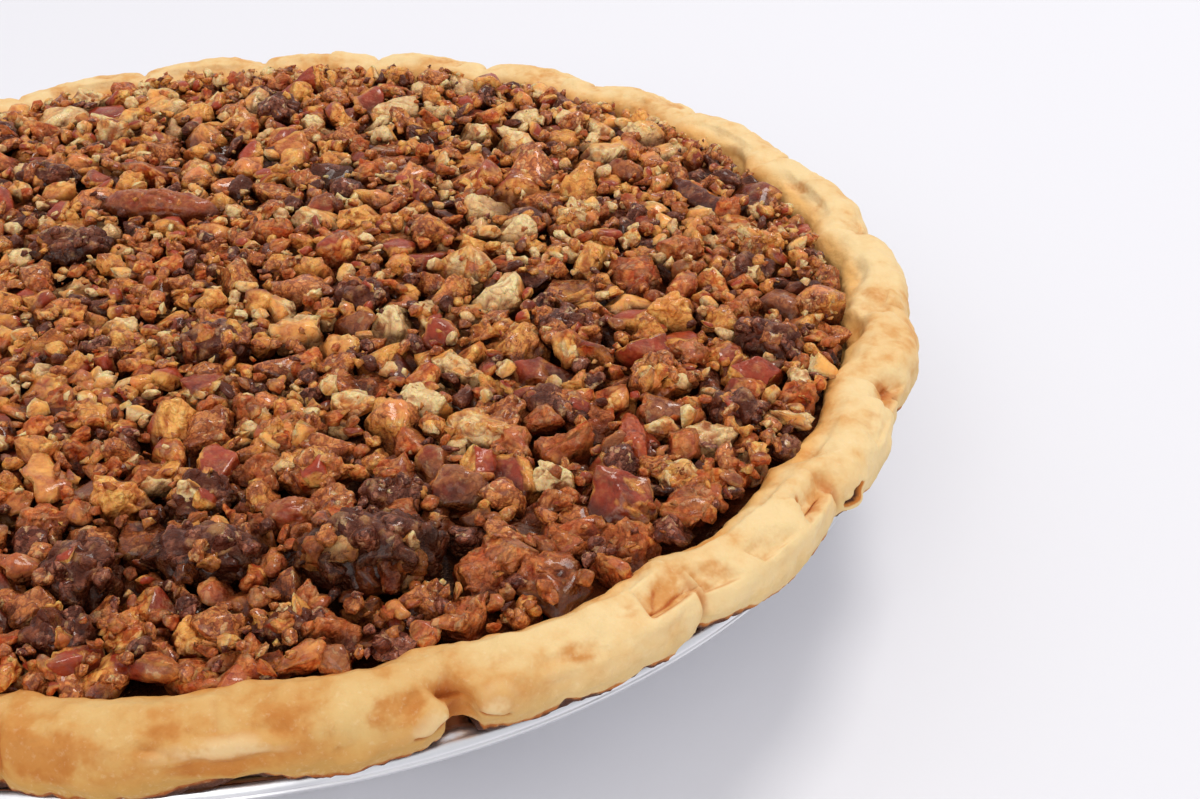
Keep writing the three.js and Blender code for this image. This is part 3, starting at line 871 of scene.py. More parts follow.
def chip_tree():
    """Rounds the chips' edges a little, bends them and roughens their broken faces."""
    graph = FieldGraph("Nut chips", {
        "Level": 2, "Crease": 0.8, "Warp": 0.2, "Warp scale": 150.0, "Torn": 0.0004, "Torn scale": 420.0,
        "Grit": 0.0001, "Grit scale": 1100.0, "Clump": 0.0, "Clump scale": 300.0, "Skin from": 0.3,
    })
    fold = graph.out(graph.node("GeometryNodeInputMeshEdgeAngle"), "Unsigned Angle")
    rounded = graph.node("GeometryNodeSubdivisionSurface", values={
        "Mesh": graph.given("Geometry"), "Level": graph.given("Level"),
        "Edge Crease": graph.step(fold, 0.2, 0.8) * graph.given("Crease"),
    })
    spot = graph.position()
    size = graph.named("size")
    bend = graph.node("ShaderNodeTexNoise", values={
        "Vector": spot, "Scale": graph.given("Warp scale"), "Detail": 1.0,
    })
    bend = graph.vector("SUBTRACT", graph.out(bend, "Color"), (0.5, 0.5, 0.5))
    bent = graph.move(graph.out(rounded), offset=bend * (graph.given("Warp") * size * 2.0))
    torn = graph.noise(spot, graph.given("Torn scale"), 2.0, 0.55) - 0.5
    wander = graph.noise(spot, 190.0, 2.0, 0.6) - 0.5
    facing = graph.vector("DOT_PRODUCT", graph.normal(), graph.named("outward", "FLOAT_VECTOR"))
    edge = facing + torn * 0.9 + wander * 1.5 - graph.given("Skin from")
    bent = graph.keep(bent, "skin", graph.step(edge, -0.1, 0.14))
    skin = graph.named("skin")
    grit = graph.noise(spot, graph.given("Grit scale"), 2.0, 0.6) - 0.5
    clumps = graph.cells(spot, graph.given("Clump scale"), "SMOOTH_F1")
    mound = 0.4 - graph.out(clumps, "Distance")
    raised = torn * graph.given("Torn") * (2.4 - 1.9 * skin) + grit * graph.given("Grit") * 2.0
    raised = raised + mound * graph.given("Clump") * 2.0
    ridge = 0.5 + torn * (1.9 - 0.9 * skin) + grit * 0.8 + graph.given("Clump") * mound * 800.0
    bent = graph.keep(bent, "ridge", ridge)
    bent = graph.keep(bent, "bit", graph.split(graph.out(clumps, "Color"))[0])
    moved = graph.move(bent, offset=graph.normal() * raised)
    graph.finish(graph.sink(moved, 0.0002, 0.0034))
    return graph


# ---------------------------------------------------------------- the crust's form


def flute_field(around):
    """For each direction: how full the bulge is there, its lift, and how near a pinch it lies."""
    starts = np.radians(PINCHES)
    ends = np.append(starts[1:], starts[0] - FULL_TURN)
    heights = [chance(flute + 40) - 0.5 for flute in range(len(PINCHES))]
    bulge, lift, pinch = np.zeros((3, len(around)))
    for flute, (start, end) in enumerate(zip(starts, ends)):
        share = ((start - around) % FULL_TURN) / (start - end)
        inside = share < 1
        share = share[inside]
        fullness = 0.72 + 0.28 * chance(flute + 3)
        lean = 1 + 0.35 * (chance(flute + 71) - 0.5)
        bulge[inside] = fullness * np.sin(math.pi * share ** lean) ** 0.6
        before, own, after = (heights[(flute + k) % len(PINCHES)] for k in (-1, 0, 1))
        early = 0.5 * (before + own) + (own - before) * share
        late = 0.5 * (after + own) + (own - after) * (1 - share)
        lift[inside] = 0.9 * MM * np.where(share < 0.5, early, late)
        nearest = np.minimum(share, 1 - share) * (start - end) * PINCH_REACH
        pinch[inside] = np.exp(-((nearest / 0.7) ** 2))
    healed = near(around, HEALED, 5)
    return np.maximum(bulge, 0.62 * healed), lift, pinch * (1 - healed)


def wall_inside(tin, height):
    """Inner radius of the tin's sloped wall at a height."""
    slope = (tin.wall_top - tin.base_radius) / (tin.wall_height - MM)
    return tin.base_radius - tin.foil * math.hypot(1, slope) + (height - MM) * slope


def crust_rows(tin, around):
    """Rings of the whole crust: underside, outer wall, rim, inner wall and floor."""
    bottom, floor, thick, gap = 1.05 * MM, 5.5 * MM, 4.6 * MM, 0.6 * MM

    def inside(height):
        return wall_inside(tin, height) - gap

    under = [
        (20 * MM, bottom), (70 * MM, bottom), (84.2 * MM, bottom),
        (inside(14 * MM) - 0.5 * MM, 14 * MM), (inside(27 * MM), 27 * MM),
        (tin.wall_top + 1.3 * MM, tin.bead_height + 0.8 * MM),
        (tin.bead_centre - tin.bead_radius, tin.bead_height + tin.bead_radius + gap),
    ]
    over = [
        (inside(30 * MM) - thick, 30 * MM), (inside(18 * MM) - thick, 18 * MM),
        (inside(floor) - thick, floor), (60 * MM, floor), (20 * MM, floor),
    ]
    outer = np.linspace(RIM_START, RIM_TOP, 54, endpoint=False)
    turns = np.radians(np.append(outer, np.linspace(RIM_TOP, RIM_END, 16)))
    rows = len(under) + len(turns) + len(over)
    rings = np.zeros((rows, len(around), 3))
    rings[:len(under)] = turned_rings(under, around)
    rings[-len(over):] = turned_rings(over, around)
    turn = np.zeros((rows, len(around)))
    rim = np.zeros_like(turn)
    turn[len(under):len(under) + len(turns)] = turns[:, None]
    rim[len(under):len(under) + len(turns)] = 1
    return rings, turn, rim


def apart(around, angle):
    """How far directions lie from an angle in degrees, in mm along the rim, positive anticlockwise."""
    return ((around - math.radians(angle) + math.pi) % FULL_TURN - math.pi) * RIM_REACH


def near(around, angle, reach):
    """1 at an angle in degrees, falling off steeply at a distance of reach in mm."""
    return np.exp(-((apart(around, angle) / reach) ** 4))


def crust_directions(count):
    """Directions round the crust, closer together at the pinches and the sharp marks."""
    fine = directions(7200)
    crowd = np.ones_like(fine)
    spots = [(angle, 1.6) for angle in PINCHES] + [(NOTCH, 4.5)]
    spots += [(mark[0], mark[2] + 0.6) for mark in MARKS if mark[4] > 0.3]
    for angle, reach in spots:
        crowd = np.maximum(crowd, 1 + 1.6 * near(fine, angle, reach))
    total = np.append(0, np.cumsum(crowd))
    evenly = np.linspace(0, total[-1], count, endpoint=False)
    return np.interp(evenly, total, np.append(fine, FULL_TURN))


def pressed(around, turn, mark, lean):
    """Depth, colour and edge of one mark: a dent with a sharp lower corner, or a soft mound. The edge places
    a line of painted shade.
    """
    middle, section, reach, width, depth, _ = mark
    along = apart(around, middle)[None] / reach + 0 * turn
    across = (turn - math.radians(section)) * SECTION_REACH / width + 0 * along
    along, across = along + 0.5 * lean * across, across - 0.35 * lean * along
    if depth < 0.45 or section > 100:
        soft = 1 - smooth(0.3, 1.35, np.hypot(along, across))
        return soft, soft, 0 * soft
    sharp = smooth(-1.15, -0.93, along) * smooth(-1.15, -0.9, across)
    opened = (1 - smooth(0.5, 1.35, along)) * (1 - smooth(0.4, 1.35, across))
    tilt = 1 - smooth(-0.4, 1.5, 0.6 * along + 0.8 * across)
    return sharp * opened * (0.35 + 0.65 * tilt), sharp * opened, 4 * sharp * (1 - sharp) * opened


def creased(around, turn, crease):
    """How near each point lies to one crease, from 0 to 1."""
    first, low, second, high, width, _, _ = crease
    along = apart(around, first)[None] + 0 * turn
    across = (turn - math.radians(low)) * SECTION_REACH + 0 * along
    reach, rise = (second - first) * RIM_DEGREE, math.radians(high - low) * SECTION_REACH
    share = np.clip((along * reach + across * rise) / (reach * reach + rise * rise), 0, 1)
    bend = 0.3 * np.sin(0.9 * along + 1.4 * across)
    away = np.hypot(along - share * reach, across - share * rise + bend)
    return np.exp(-((away / width) ** 2))


def hidden_marks():
    """Soft marks and mounds on the side of the rim that is turned away."""
    marks, count = [], 30
    for index in range(count):
        roll = [chance(index * 7 + k + 500) for k in range(5)]
        raised = roll[4] > 0.75
        marks.append((
            100 + 140 * (index + roll[0]) / count, 20 + 90 * roll[1], 2.4 + 2.6 * roll[2], 1.8 + roll[3],
            -0.6 if raised else 0.3 + 0.18 * roll[4], -0.5 if raised else 0.3 + 0.6 * roll[2],
        ))
    return marks


def notch_shape(around, turn):
    """Depth and painted shade of the notch: a shallow groove above, a small gap at the hem below."""
    degrees = np.degrees(turn)
    middle = np.interp(degrees, [-62, 20, 80], [0.3, 0.3, -2.6])
    away = np.abs(apart(around, NOTCH)[None] - middle)
    groove = (1 - smooth(0.2, 2.7, away)) * smooth(-44, -14, degrees) * (1 - smooth(45, 92, degrees))
    gap = (1 - smooth(1.4, 2.7, away)) * (1 - smooth(-46, -26, degrees))
    return 2.7 * groove + 3.4 * gap, groove, gap


def crust_marks(around, turn):
    """Depth, browning and darkness of all marks on the rim, and where the gap under the notch is. The
    darkness is painted shade, and at the hem partly a syrup stain.
    """
    depth, brown, dark, mound = np.zeros((4, *turn.shape))
    for index, mark in enumerate(MARKS + hidden_marks()):
        *_, press, tinge = mark
        sunk, tinged, edge = pressed(around, turn, mark, chance(index + 800) - 0.5)
        depth += press * MM * sunk
        brown += tinge * tinged
        if press < 0:
            mound = np.maximum(mound, sunk)
        # A line of painted shade along each dent's sharp edge
        dark += 0.34 * edge * np.clip(tinge, 0.3, 1)
    for crease in CREASES:
        *_, press, shade = crease
        line = creased(around, turn, crease)
        depth += press * MM * line
        # Painted shade along each crease
        dark = np.maximum(dark, np.clip(shade * line, 0, 1))
    bulge, _, pinch = flute_field(around)
    degrees = np.degrees(turn)
    pocket = smooth(0.4, 0.85, bulge)[None] * smooth(100, 112, degrees) * (1 - smooth(118, 190, degrees))
    pocket = pocket * (0.55 + 0.45 * np.sin(3.7 * around + 1.3))[None]
    depth += 1.1 * MM * pocket
    brown += 0.35 * pocket
    fold = pinch[None] * np.exp(-(((turn - math.radians(25)) / 0.95) ** 2))
    fold = fold * (1 - np.clip(1.8 * mound, 0, 1))
    depth += 0.6 * MM * fold
    # Painted shade in the folds at the pinches
    dark = np.maximum(dark, 0.3 * fold)
    # The hem's lowest rows darken: partly a syrup stain, partly painted shade where the hem meets the tin
    dark = np.maximum(dark, smooth(30, 50, -degrees))
    sunk, groove, gap = notch_shape(around, turn)
    depth += sunk * MM
    # Painted shade in the notch's groove, given as browning
    brown += 1.5 * groove
    # The gap under the notch adds painted shade to the darkness
    return depth, np.clip(brown, -1, 1.3), np.clip(dark + 0.3 * gap, 0, 1), gap


# ---------------------------------------------------------------- the nuts' places


def caramel_height(caramel, radius):
    return caramel.edge_height + caramel.dome * (1 - (radius / caramel.radius) ** 2)


class Heap:
    """Heights of the topping on a grid, so that each nut comes down on what lies under it."""

    def __init__(self, caramel):
        self.cell = 0.5 * MM
        self.reach = 106 * MM
        self.axis = np.linspace(-self.reach, self.reach, int(2 * self.reach / self.cell) + 1)
        radius = np.hypot(self.axis[:, None], self.axis[None, :])
        self.base = caramel_height(caramel, radius)
        self.height = self.base.copy()

    def window(self, x, y, radius):
        low_x = max(0, int((x - radius + self.reach) / self.cell))
        low_y = max(0, int((y - radius + self.reach) / self.cell))
        span = int(2 * radius / self.cell) + 2
        return slice(low_x, low_x + span), slice(low_y, low_y + span)

    def ellipse(self, x, y, half, yaw):
        """The window round a piece and its dome there, 0 at the outline and 1 in the middle."""
        window = self.window(x, y, max(half[0], half[1]))
        dx = self.axis[window[0]][:, None] - x
        dy = self.axis[window[1]][None, :] - y
        along = (dx * math.cos(yaw) + dy * math.sin(yaw)) / half[0]
        across = (dy * math.cos(yaw) - dx * math.sin(yaw)) / half[1]
        return window, np.sqrt(np.clip(1 - along**2 - across**2, 0, None))

    def rest(self, x, y, half, yaw):
        """Mean height of what a piece would lie on."""
        window, dome = self.ellipse(x, y, half, yaw)
        under = self.height[window][dome > 0.3]
        return float(under.mean()) if under.size else float(self.height[self.spot(x, y)])

    def spot(self, x, y):
        return int((x + self.reach) / self.cell), int((y + self.reach) / self.cell)

    def levelled(self, reach):
        """The heap's height averaged over a square round each place."""
        cells = int(reach / self.cell)
        span = 2 * cells + 1
        sums = np.pad(self.height, cells, mode="edge").cumsum(0).cumsum(1)
        sums = np.pad(sums, ((1, 0), (1, 0)))
        total = sums[span:, span:] - sums[:-span, span:] - sums[span:, :-span] + sums[:-span, :-span]
        return total / span**2

    def lay(self, x, y, z, half, yaw):
        """Raises the heap by a piece that lies with its middle at a height."""
        window, dome = self.ellipse(x, y, half, yaw)
        ground = self.height[window]
        self.height[window] = np.where(dome > 0, np.maximum(ground, z + half[2] * dome), ground)


def cad_fragment(node):
    """Middle, half sizes and turn about the upright of one large CAD piece."""
    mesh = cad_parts[node].data
    points = np.empty(len(mesh.vertices) * 3, np.float32)
    mesh.vertices.foreach_get("co", points)
    points = np.unique(np.round(points.reshape(-1, 3).astype(float), 6), axis=0)
    flat = points[:, :2] - (points[:, :2].max(0) + points[:, :2].min(0)) / 2
    _, axes = np.linalg.eigh(flat.T @ flat)
    along = axes[:, 1]
    yaw = math.atan2(along[1], along[0])
    across = np.array([-along[1], along[0]])
    reach = [points[:, :2] @ along, points[:, :2] @ across]
    middle = [(r.max() + r.min()) / 2 for r in reach]
    centre = along * middle[0] + across * middle[1]
    low, high = points[:, 2].min(), points[:, 2].max()
    # The solid is flat underneath, so the rounder piece has its middle lower and reaches under it
    half = [(r.max() - r.min()) / 2 for r in reach] + [(high - low) * 0.6]
    return (centre[0], centre[1], low + (high - low) * 0.4), half, yaw


def nut_points(name, rows):
    """Points that carry each fragment's half sizes, turn and tone."""
    mesh = bpy.data.meshes.new(name)
    mesh.from_pydata([row["centre"] for row in rows], [], [])
    kinds = {"centre": "FLOAT_VECTOR", "half": "FLOAT_VECTOR", "turn": "FLOAT_VECTOR", "piece": "INT"}
    for label in ("centre", "half", "turn", "tone", "floor", "piece"):
        store(mesh, label, [row[label] for row in rows], kinds.get(label, "FLOAT"))
    return mesh


def chip_shapes(draw, count, corners):
    """Unit chips, each the hull of a few uneven points on a rounded box: its corners and its faces."""
    shapes = []
    for _ in range(count):
        index = np.arange(corners) + 0.5
        up = 1 - 2 * index / corners
        around = index * GOLDEN_TURN + draw.uniform(0, TURN_LIMIT)
        flat = np.sqrt(1 - up * up)
        rays = np.column_stack([flat * np.cos(around), flat * np.sin(around), up])
        rays += draw.normal(0, 0.24, rays.shape)
        rays /= np.linalg.norm(rays, axis=1)[:, None]
        rays /= np.abs(rays).max(1)[:, None] ** 0.6
        rays *= draw.uniform(0.84, 1.14, (corners, 1))
        shape = bmesh.new()
        for ray in rays:
            shape.verts.new(ray)
        bmesh.ops.convex_hull(shape, input=shape.verts)
        bmesh.ops.delete(shape, geom=[v for v in shape.verts if not v.link_faces], context="VERTS")
        bmesh.ops.dissolve_limit(shape, angle_limit=0.25, verts=shape.verts, edges=shape.edges)
        bmesh.ops.recalc_face_normals(shape, faces=shape.faces)
        shape.verts.index_update()
        sides = [[v.index for v in face.verts] for face in shape.faces]
        shapes.append((np.array([v.co for v in shape.verts]), sides))
        shape.free()
    return shapes


def chips_mesh(name, rows, shapes, draw):
    """One mesh of many chips, each turned, stretched and set down in its place."""
    points, faces, counts, outward = [], [], [], []
    start = 0
    for row in rows:
        corners, sides = shapes[int(draw.integers(len(shapes)))]
        first = np.array(Euler(draw.uniform(0, TURN_LIMIT, 3)).to_matrix())
        turn = np.array(Euler(row["turn"]).to_matrix())
        points.append((corners @ first.T * row["half"]) @ turn.T + row["centre"])
        faces.extend([[start + i for i in side] for side in sides])
        counts.append(len(corners))
        lean = draw.normal(0, 1.0, 3) + (0, 0, 0.6)
        outward.append(lean / np.linalg.norm(lean))
        start += len(corners)
    mesh = bpy.data.meshes.new(name)
    mesh.from_pydata(np.vstack(points).tolist(), [], faces)
    store(mesh, "outward", np.repeat(outward, counts, axis=0), "FLOAT_VECTOR")
    fields = [(row["tone"], row["floor"], sum(row["half"]) / 3) for row in rows]
    for label, values in zip(("tone", "floor", "size"), zip(*fields)):
        store(mesh, label, np.repeat(values, counts))
    return mesh


# Form of each kind of chip, as inputs of the chip tree
CHIPS = {
    "skin": {"crease": 0.8, "warp": 0.26, "torn": 0.0012, "grit": 0.0002, "skin_from": 0.3},
    "meat": {"crease": 0.85, "warp": 0.3, "torn": 0.0015, "grit": 0.00025, "skin_from": 0.66},
    "cluster": {
        "crease": 0.3, "warp": 0.36, "torn": 0.0013, "grit": 0.0003, "clump": 0.0006, "clump_scale": 520.0,
        "skin_from": -0.6,
    },
    "crumb": {"crease": 0.65, "warp": 0.34, "torn": 0.0017, "grit": 0.0004, "skin_from": 0.72},
    "shell": {"crease": 0.35, "warp": 0.24, "torn": 0.0007, "grit": 0.0002, "skin_from": -0.2},
}
# Form of the halves and the dark clumps, as inputs of the fragment tree
FORMS = {
    "half": {
        "cuts": 1.0, "cut_spread": 0.6, "lumps": 0.0005, "groove": 0.34, "wrinkle": 0.3, "grit": 0.00012,
    },
    "cluster": {
        "cuts": 0.8, "cut_spread": 0.4, "lumps": 0.001, "clump": 0.001, "clump_scale": 430.0,
        "grit": 0.0004, "grit_scale": 900.0,
    },
}
# Share of each kind among the scattered nuts
MIXTURE = {"meat": 0.37, "crumb": 0.25, "skin": 0.26, "cluster": 0.12}
# Proportions of a scattered nut, width and height over length, each from least to most:
# chunks, sticks and flakes in turn, with chunks twice as common
CHUNK, STICK, FLAKE = ((0.68, 0.95), (0.55, 0.8)), ((0.42, 0.6), (0.4, 0.55)), ((0.6, 0.85), (0.32, 0.45))
PROPORTIONS = (CHUNK, STICK, FLAKE, CHUNK)


def large_nuts(heap):
    """Rows of the large pieces by kind, each where its CAD node stands."""
    rows = {kind: [] for kind in SLOTS}
    for index, node in enumerate(sorted(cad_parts)):
        kind = node.split("_")[0]
        if kind not in rows:
            continue
        centre, half, yaw = cad_fragment(node)
        heap.lay(*centre, half, yaw)
        rows[kind].append({
            "node": node, "centre": centre, "half": half, "turn": (0.8 if kind == "half" else 0, 0, yaw),
            "tone": chance(index + 300), "piece": index + 1,
        })
    return rows


# For each layer: the shortest and longest nut in mm, tries for a place, how high in mm the
# ground may be there, and how readily it lies among coarse and among fine nuts
LAYERS = {
    "coarse": (8.4, 14.0, 30, 1.7, (1.0, 0.15)),
    "chopped": (4.8, 8.6, 24, 3.0, (1.0, 0.7)),
    "small": (2.7, 5.0, 12, 4.5, (0.2, 1.0)),
    "crumb": (1.0, 2.2, 3, 8.0, (0.12, 1.0)),
}
# For each layer: how often its chips are subdivided at the front and at the back, and their corners
CHIP_DETAIL = {"coarse": (3, 2, 10), "chopped": (2, 2, 10), "small": (1, 1, 9), "crumb": (0, 0, 8)}
# Kinds of the smaller nuts that make up a clump, with their shares
CLUMPS = {
    "cluster": {"cluster": 0.62, "crumb": 0.18, "skin": 0.1, "meat": 0.1},
    "crumb": {"crumb": 0.55, "meat": 0.4, "skin": 0.05},
}


def clump_bits(clumps, shares, draw):
    """Smaller nuts over the upper side of each large clump, all within its form."""
    rows = {kind: [] for kind in shares}
    for clump in clumps:
        centre, half, yaw = clump["centre"], clump["half"], clump["turn"][2]
        count = 10 + int(half[0] * half[1] / (4.2 * MM) ** 2 * 4)
        for index in range(count):
            up = 1 - 1.25 * (index + 0.5) / count
            around = index * GOLDEN_TURN + draw.random()
            flat = math.sqrt(1 - up * up)
            ray = (flat * math.cos(around), flat * math.sin(around), up)
            size = draw.uniform(1.6, 3.3) * MM
            x, y, z = (max(h - 0.75 * size, 0.3 * h) * d for h, d in zip(half, ray))
            kind = draw.choice(list(shares), p=list(shares.values()))
            rows[kind].append({
                "centre": (
                    centre[0] + x * math.cos(yaw) - y * math.sin(yaw),
                    centre[1] + x * math.sin(yaw) + y * math.cos(yaw),
                    centre[2] + z,
                ),
                "half": (size, size * draw.uniform(0.6, 0.9), size * draw.uniform(0.5, 0.8)),
                "turn": draw.uniform(0, TURN_LIMIT, 3), "tone": draw.random(), "floor": clump["floor"],
            })
    return rows


def fineness(x, y):
    """How finely the nuts are chopped at a place: most left of the middle and beside the crust."""
    middle = math.exp(-((x + 45 * MM) ** 2 + (y + 10 * MM) ** 2) / (50 * MM) ** 2)
    beside = 0.9 * float(smooth(94 * MM, 100 * MM, math.hypot(x, y)))
    return max(middle, beside, 0.15 * float(smooth(-72 * MM, -5 * MM, y + 0.15 * x)))


def depth_tone(y):
    """How much darker the nuts are towards the front edge and paler towards the back."""
    return 0.44 * float(smooth(-35 * MM, -90 * MM, y)) - 0.08 * float(smooth(10 * MM, 70 * MM, y))


def scattered_nuts(heap, draw, count, layer):
    """Drops nuts on the heap, the larger first, each where it finds the lowest ground."""
    shortest, longest, tries, highest, wanted = layer
    rows = {kind: [] for kind in MIXTURE}
    lengths = np.sort(shortest + (longest - shortest) * draw.random(count) ** 1.3)[::-1]
    kinds = draw.choice(list(MIXTURE), size=count, p=list(MIXTURE.values()))
    for index in range(count):
        reach = lengths[index] * MM / 2
        widths, heights = PROPORTIONS[index % len(PROPORTIONS)]
        half = (reach, reach * draw.uniform(*widths), reach * draw.uniform(*heights))
        limit = NUT_REACH - 0.6 * reach
        best = None
        for _ in range(tries):
            radius = limit * math.sqrt(draw.random())
            around = draw.uniform(0, FULL_TURN)
            x, y = radius * math.cos(around), radius * math.sin(around)
            fine = fineness(x, y)
            if draw.random() > wanted[0] + (wanted[1] - wanted[0]) * fine:
                continue
            yaw = draw.uniform(0, math.pi)
            ground = heap.rest(x, y, half, yaw)
            rise = ground - float(heap.base[heap.spot(x, y)])
            if best is None or rise < best[0]:
                best = (rise, x, y, yaw, ground)
        if best is None or best[0] > highest * MM:
            continue
        _, x, y, yaw, ground = best
        z = ground + half[2] * 0.35
        heap.lay(x, y, z, half, yaw)
        rows[kinds[index]].append({
            "centre": (x, y, z), "half": half,
            "turn": (draw.normal(0, 0.6), draw.normal(0, 0.3), yaw),
            "tone": 0.9 * draw.random() + depth_tone(y),
        })
    return rows


# ---------------------------------------------------------------- operators


class PIE_OT_tin(bpy.types.Operator):
    """Makes the foil tin with its rolled edge"""

    bl_idname = "pie.tin"
    bl_label = "Foil tin"

    def execute(self, context):
        sizes = context.scene.pie_tin
        outside = [(30 * MM, 0), (80 * MM, 0), (FOOT_RADIUS, 0.02 * MM)]
        for turn in math.radians(55) * np.linspace(0.15, 1, 6):
            outside.append((FOOT_RADIUS + FOOT_BEND * math.sin(turn), FOOT_BEND * (1 - math.cos(turn))))
        widening, rise = sizes.wall_top - sizes.base_radius, sizes.wall_height - MM
        shares = (0.1, 0.35, 0.65, 0.95)
        outside += [(sizes.base_radius + widening * share, MM + rise * share) for share in shares]
        outside += [
            (sizes.wall_top + 0.5 * MM, sizes.wall_height + 0.6 * MM),
            (sizes.wall_top + 1.6 * MM, sizes.bead_height - sizes.foil),
        ]
        bead = []
        for angle in [*range(-160, -20, 10), *range(-20, 24, 3), *range(30, 170, 10)]:
            turn = math.radians(angle)
            radius = sizes.bead_radius - sizes.seam * math.exp(-(((angle - 2) / 6) ** 2))
            bead.append((
                sizes.bead_centre + radius * math.cos(turn),
                sizes.bead_height + radius * math.sin(turn),
            ))
        heights = (sizes.wall_height + 0.3 * MM, 14 * MM, 1.4 * MM)
        inside = [(sizes.wall_top + 1.4 * MM, sizes.bead_height)]
        inside += [(wall_inside(sizes, height), height) for height in heights]
        inside += [(84.0 * MM, sizes.foil), (30 * MM, sizes.foil)]
        around = directions(480)
        rings = turned_rings(outside + bead + inside, around)
        # The flange comes up at the notch, and the last rows of the rolled edge with it
        flange, last = len(outside) + len(bead), 9
        opening = near(around, NOTCH, 3.2)
        rings[flange, :, :2] *= 1 + 0.024 * opening[:, None]
        rings[flange, :, 2] += 4.4 * MM * opening
        rings[flange - last:flange, :, 2] += 1.5 * MM * opening * np.linspace(0, 1, last)[:, None]
        mesh = ring_mesh("foil_tin", rings)
        mesh.materials.append(foil_material(sizes))
        placed(linked("foil_tin", mesh), "foil", "tin")
        return {"FINISHED"}


class PIE_OT_crust(bpy.types.Operator):
    """Makes the crust with its pinched and dented rim"""

    bl_idname = "pie.crust"
    bl_label = "Crust"

    def execute(self, context):
        sizes, tin = context.scene.pie_crust, context.scene.pie_tin
        around = crust_directions(1180)
        rings, turn, rim = crust_rows(tin, around)
        bulge, lift, _ = flute_field(around)
        depth, brown, dark, gap = crust_marks(around, turn)
        # The two rows under the rim draw in at the notch
        rings[5:7, :, :2] *= 1 - 3.4 / RIM_REACH * near(around, NOTCH, 2.6)[:, None]
        from_drawn = around - math.radians(10)
        baked = smooth(0.86, 0.98, 0.5 + 0.5 * np.cos(around + math.radians(110)))
        baked += 0.6 * smooth(0.9, 1, 0.5 + 0.5 * np.cos(around - math.radians(165)))
        degrees = np.degrees(turn)
        free = rim * smooth(RIM_START, -40, degrees) * (1 - smooth(176, RIM_END, degrees))
        # How far each row lies on the inner side, which takes a painted warm cast for light bounced into its
        # shade
        inner = smooth(105, 150, degrees) * rim
        # The rows after the rim are the crust's inside too
        inner[-5:] = 1
        fields = {
            "turn": turn, "around": around, "bulge": bulge, "lift": lift, "baked": baked, "rim": rim,
            "drift": sizes.drawn * (np.cos(from_drawn) + np.cos(2 * from_drawn)),
            "free": np.maximum(free, gap * rim), "inner": inner,
            "dent_depth": depth * rim, "browned": brown * rim, "dark": dark * rim,
            "low": rim * (1 - smooth(-30, 60, degrees)), "hem": rim * (1 - smooth(-56, -18, degrees)),
        }
        mesh = ring_mesh("crust_rings", rings)
        for label, values in fields.items():
            pole = float(label == "inner")
            spread = np.broadcast_to(values, turn.shape).ravel()
            store(mesh, label, np.append(spread, [pole, pole]))
        piece = grown("pastry_crust", mesh, crust_tree(sizes), pastry_material(sizes))
        placed(piece, "crust", "crust")
        return {"FINISHED"}


class PIE_OT_syrup(bpy.types.Operator):
    """Makes the dark syrup that baked on between the crust and the tin"""

    bl_idname = "pie.syrup"
    bl_label = "Baked-on syrup"

    def execute(self, context):
        tin, caramel = context.scene.pie_tin, context.scene.pie_caramel
        count = 720
        around = directions(count)
        bulge, _, _ = flute_field(around)
        radius = tin.bead_centre + (0.45 + 0.5 * bulge - 5.0 * near(around, NOTCH, 3.0)) * MM
        height = np.full(count, tin.bead_height + tin.bead_radius + 0.3 * MM)
        points = np.column_stack([radius * np.cos(around), radius * np.sin(around), height])
        line = bpy.data.meshes.new("syrup_line")
        line.from_pydata(points.tolist(), [(i, (i + 1) % count) for i in range(count)], [])
        piece = grown("baked_syrup", line, syrup_tree(), caramel_material(caramel))
        placed(piece, "caramel_clump")
        return {"FINISHED"}


class PIE_OT_caramel(bpy.types.Operator):
    """Makes the dark caramel that fills the crust"""

    bl_idname = "pie.caramel"
    bl_label = "Caramel"

    def execute(self, context):
        sizes, count = context.scene.pie_caramel, 300
        radii = sizes.radius * np.linspace(1, 0.01, 90)
        top = [(radius, caramel_height(sizes, radius)) for radius in radii]
        below = [(40 * MM, 6 * MM), (82.5 * MM, 6 * MM), (90 * MM, 17 * MM), (99.2 * MM, 30 * MM)]
        mesh = ring_mesh("caramel_rings", turned_rings(below + top, directions(count)))
        free = np.ones(len(mesh.vertices))
        free[:len(below) * count] = 0
        store(mesh, "free", free)
        piece = grown("caramel_filling", mesh, relief_tree(sizes), caramel_material(sizes))
        placed(piece, "filling", "filling")
        return {"FINISHED"}


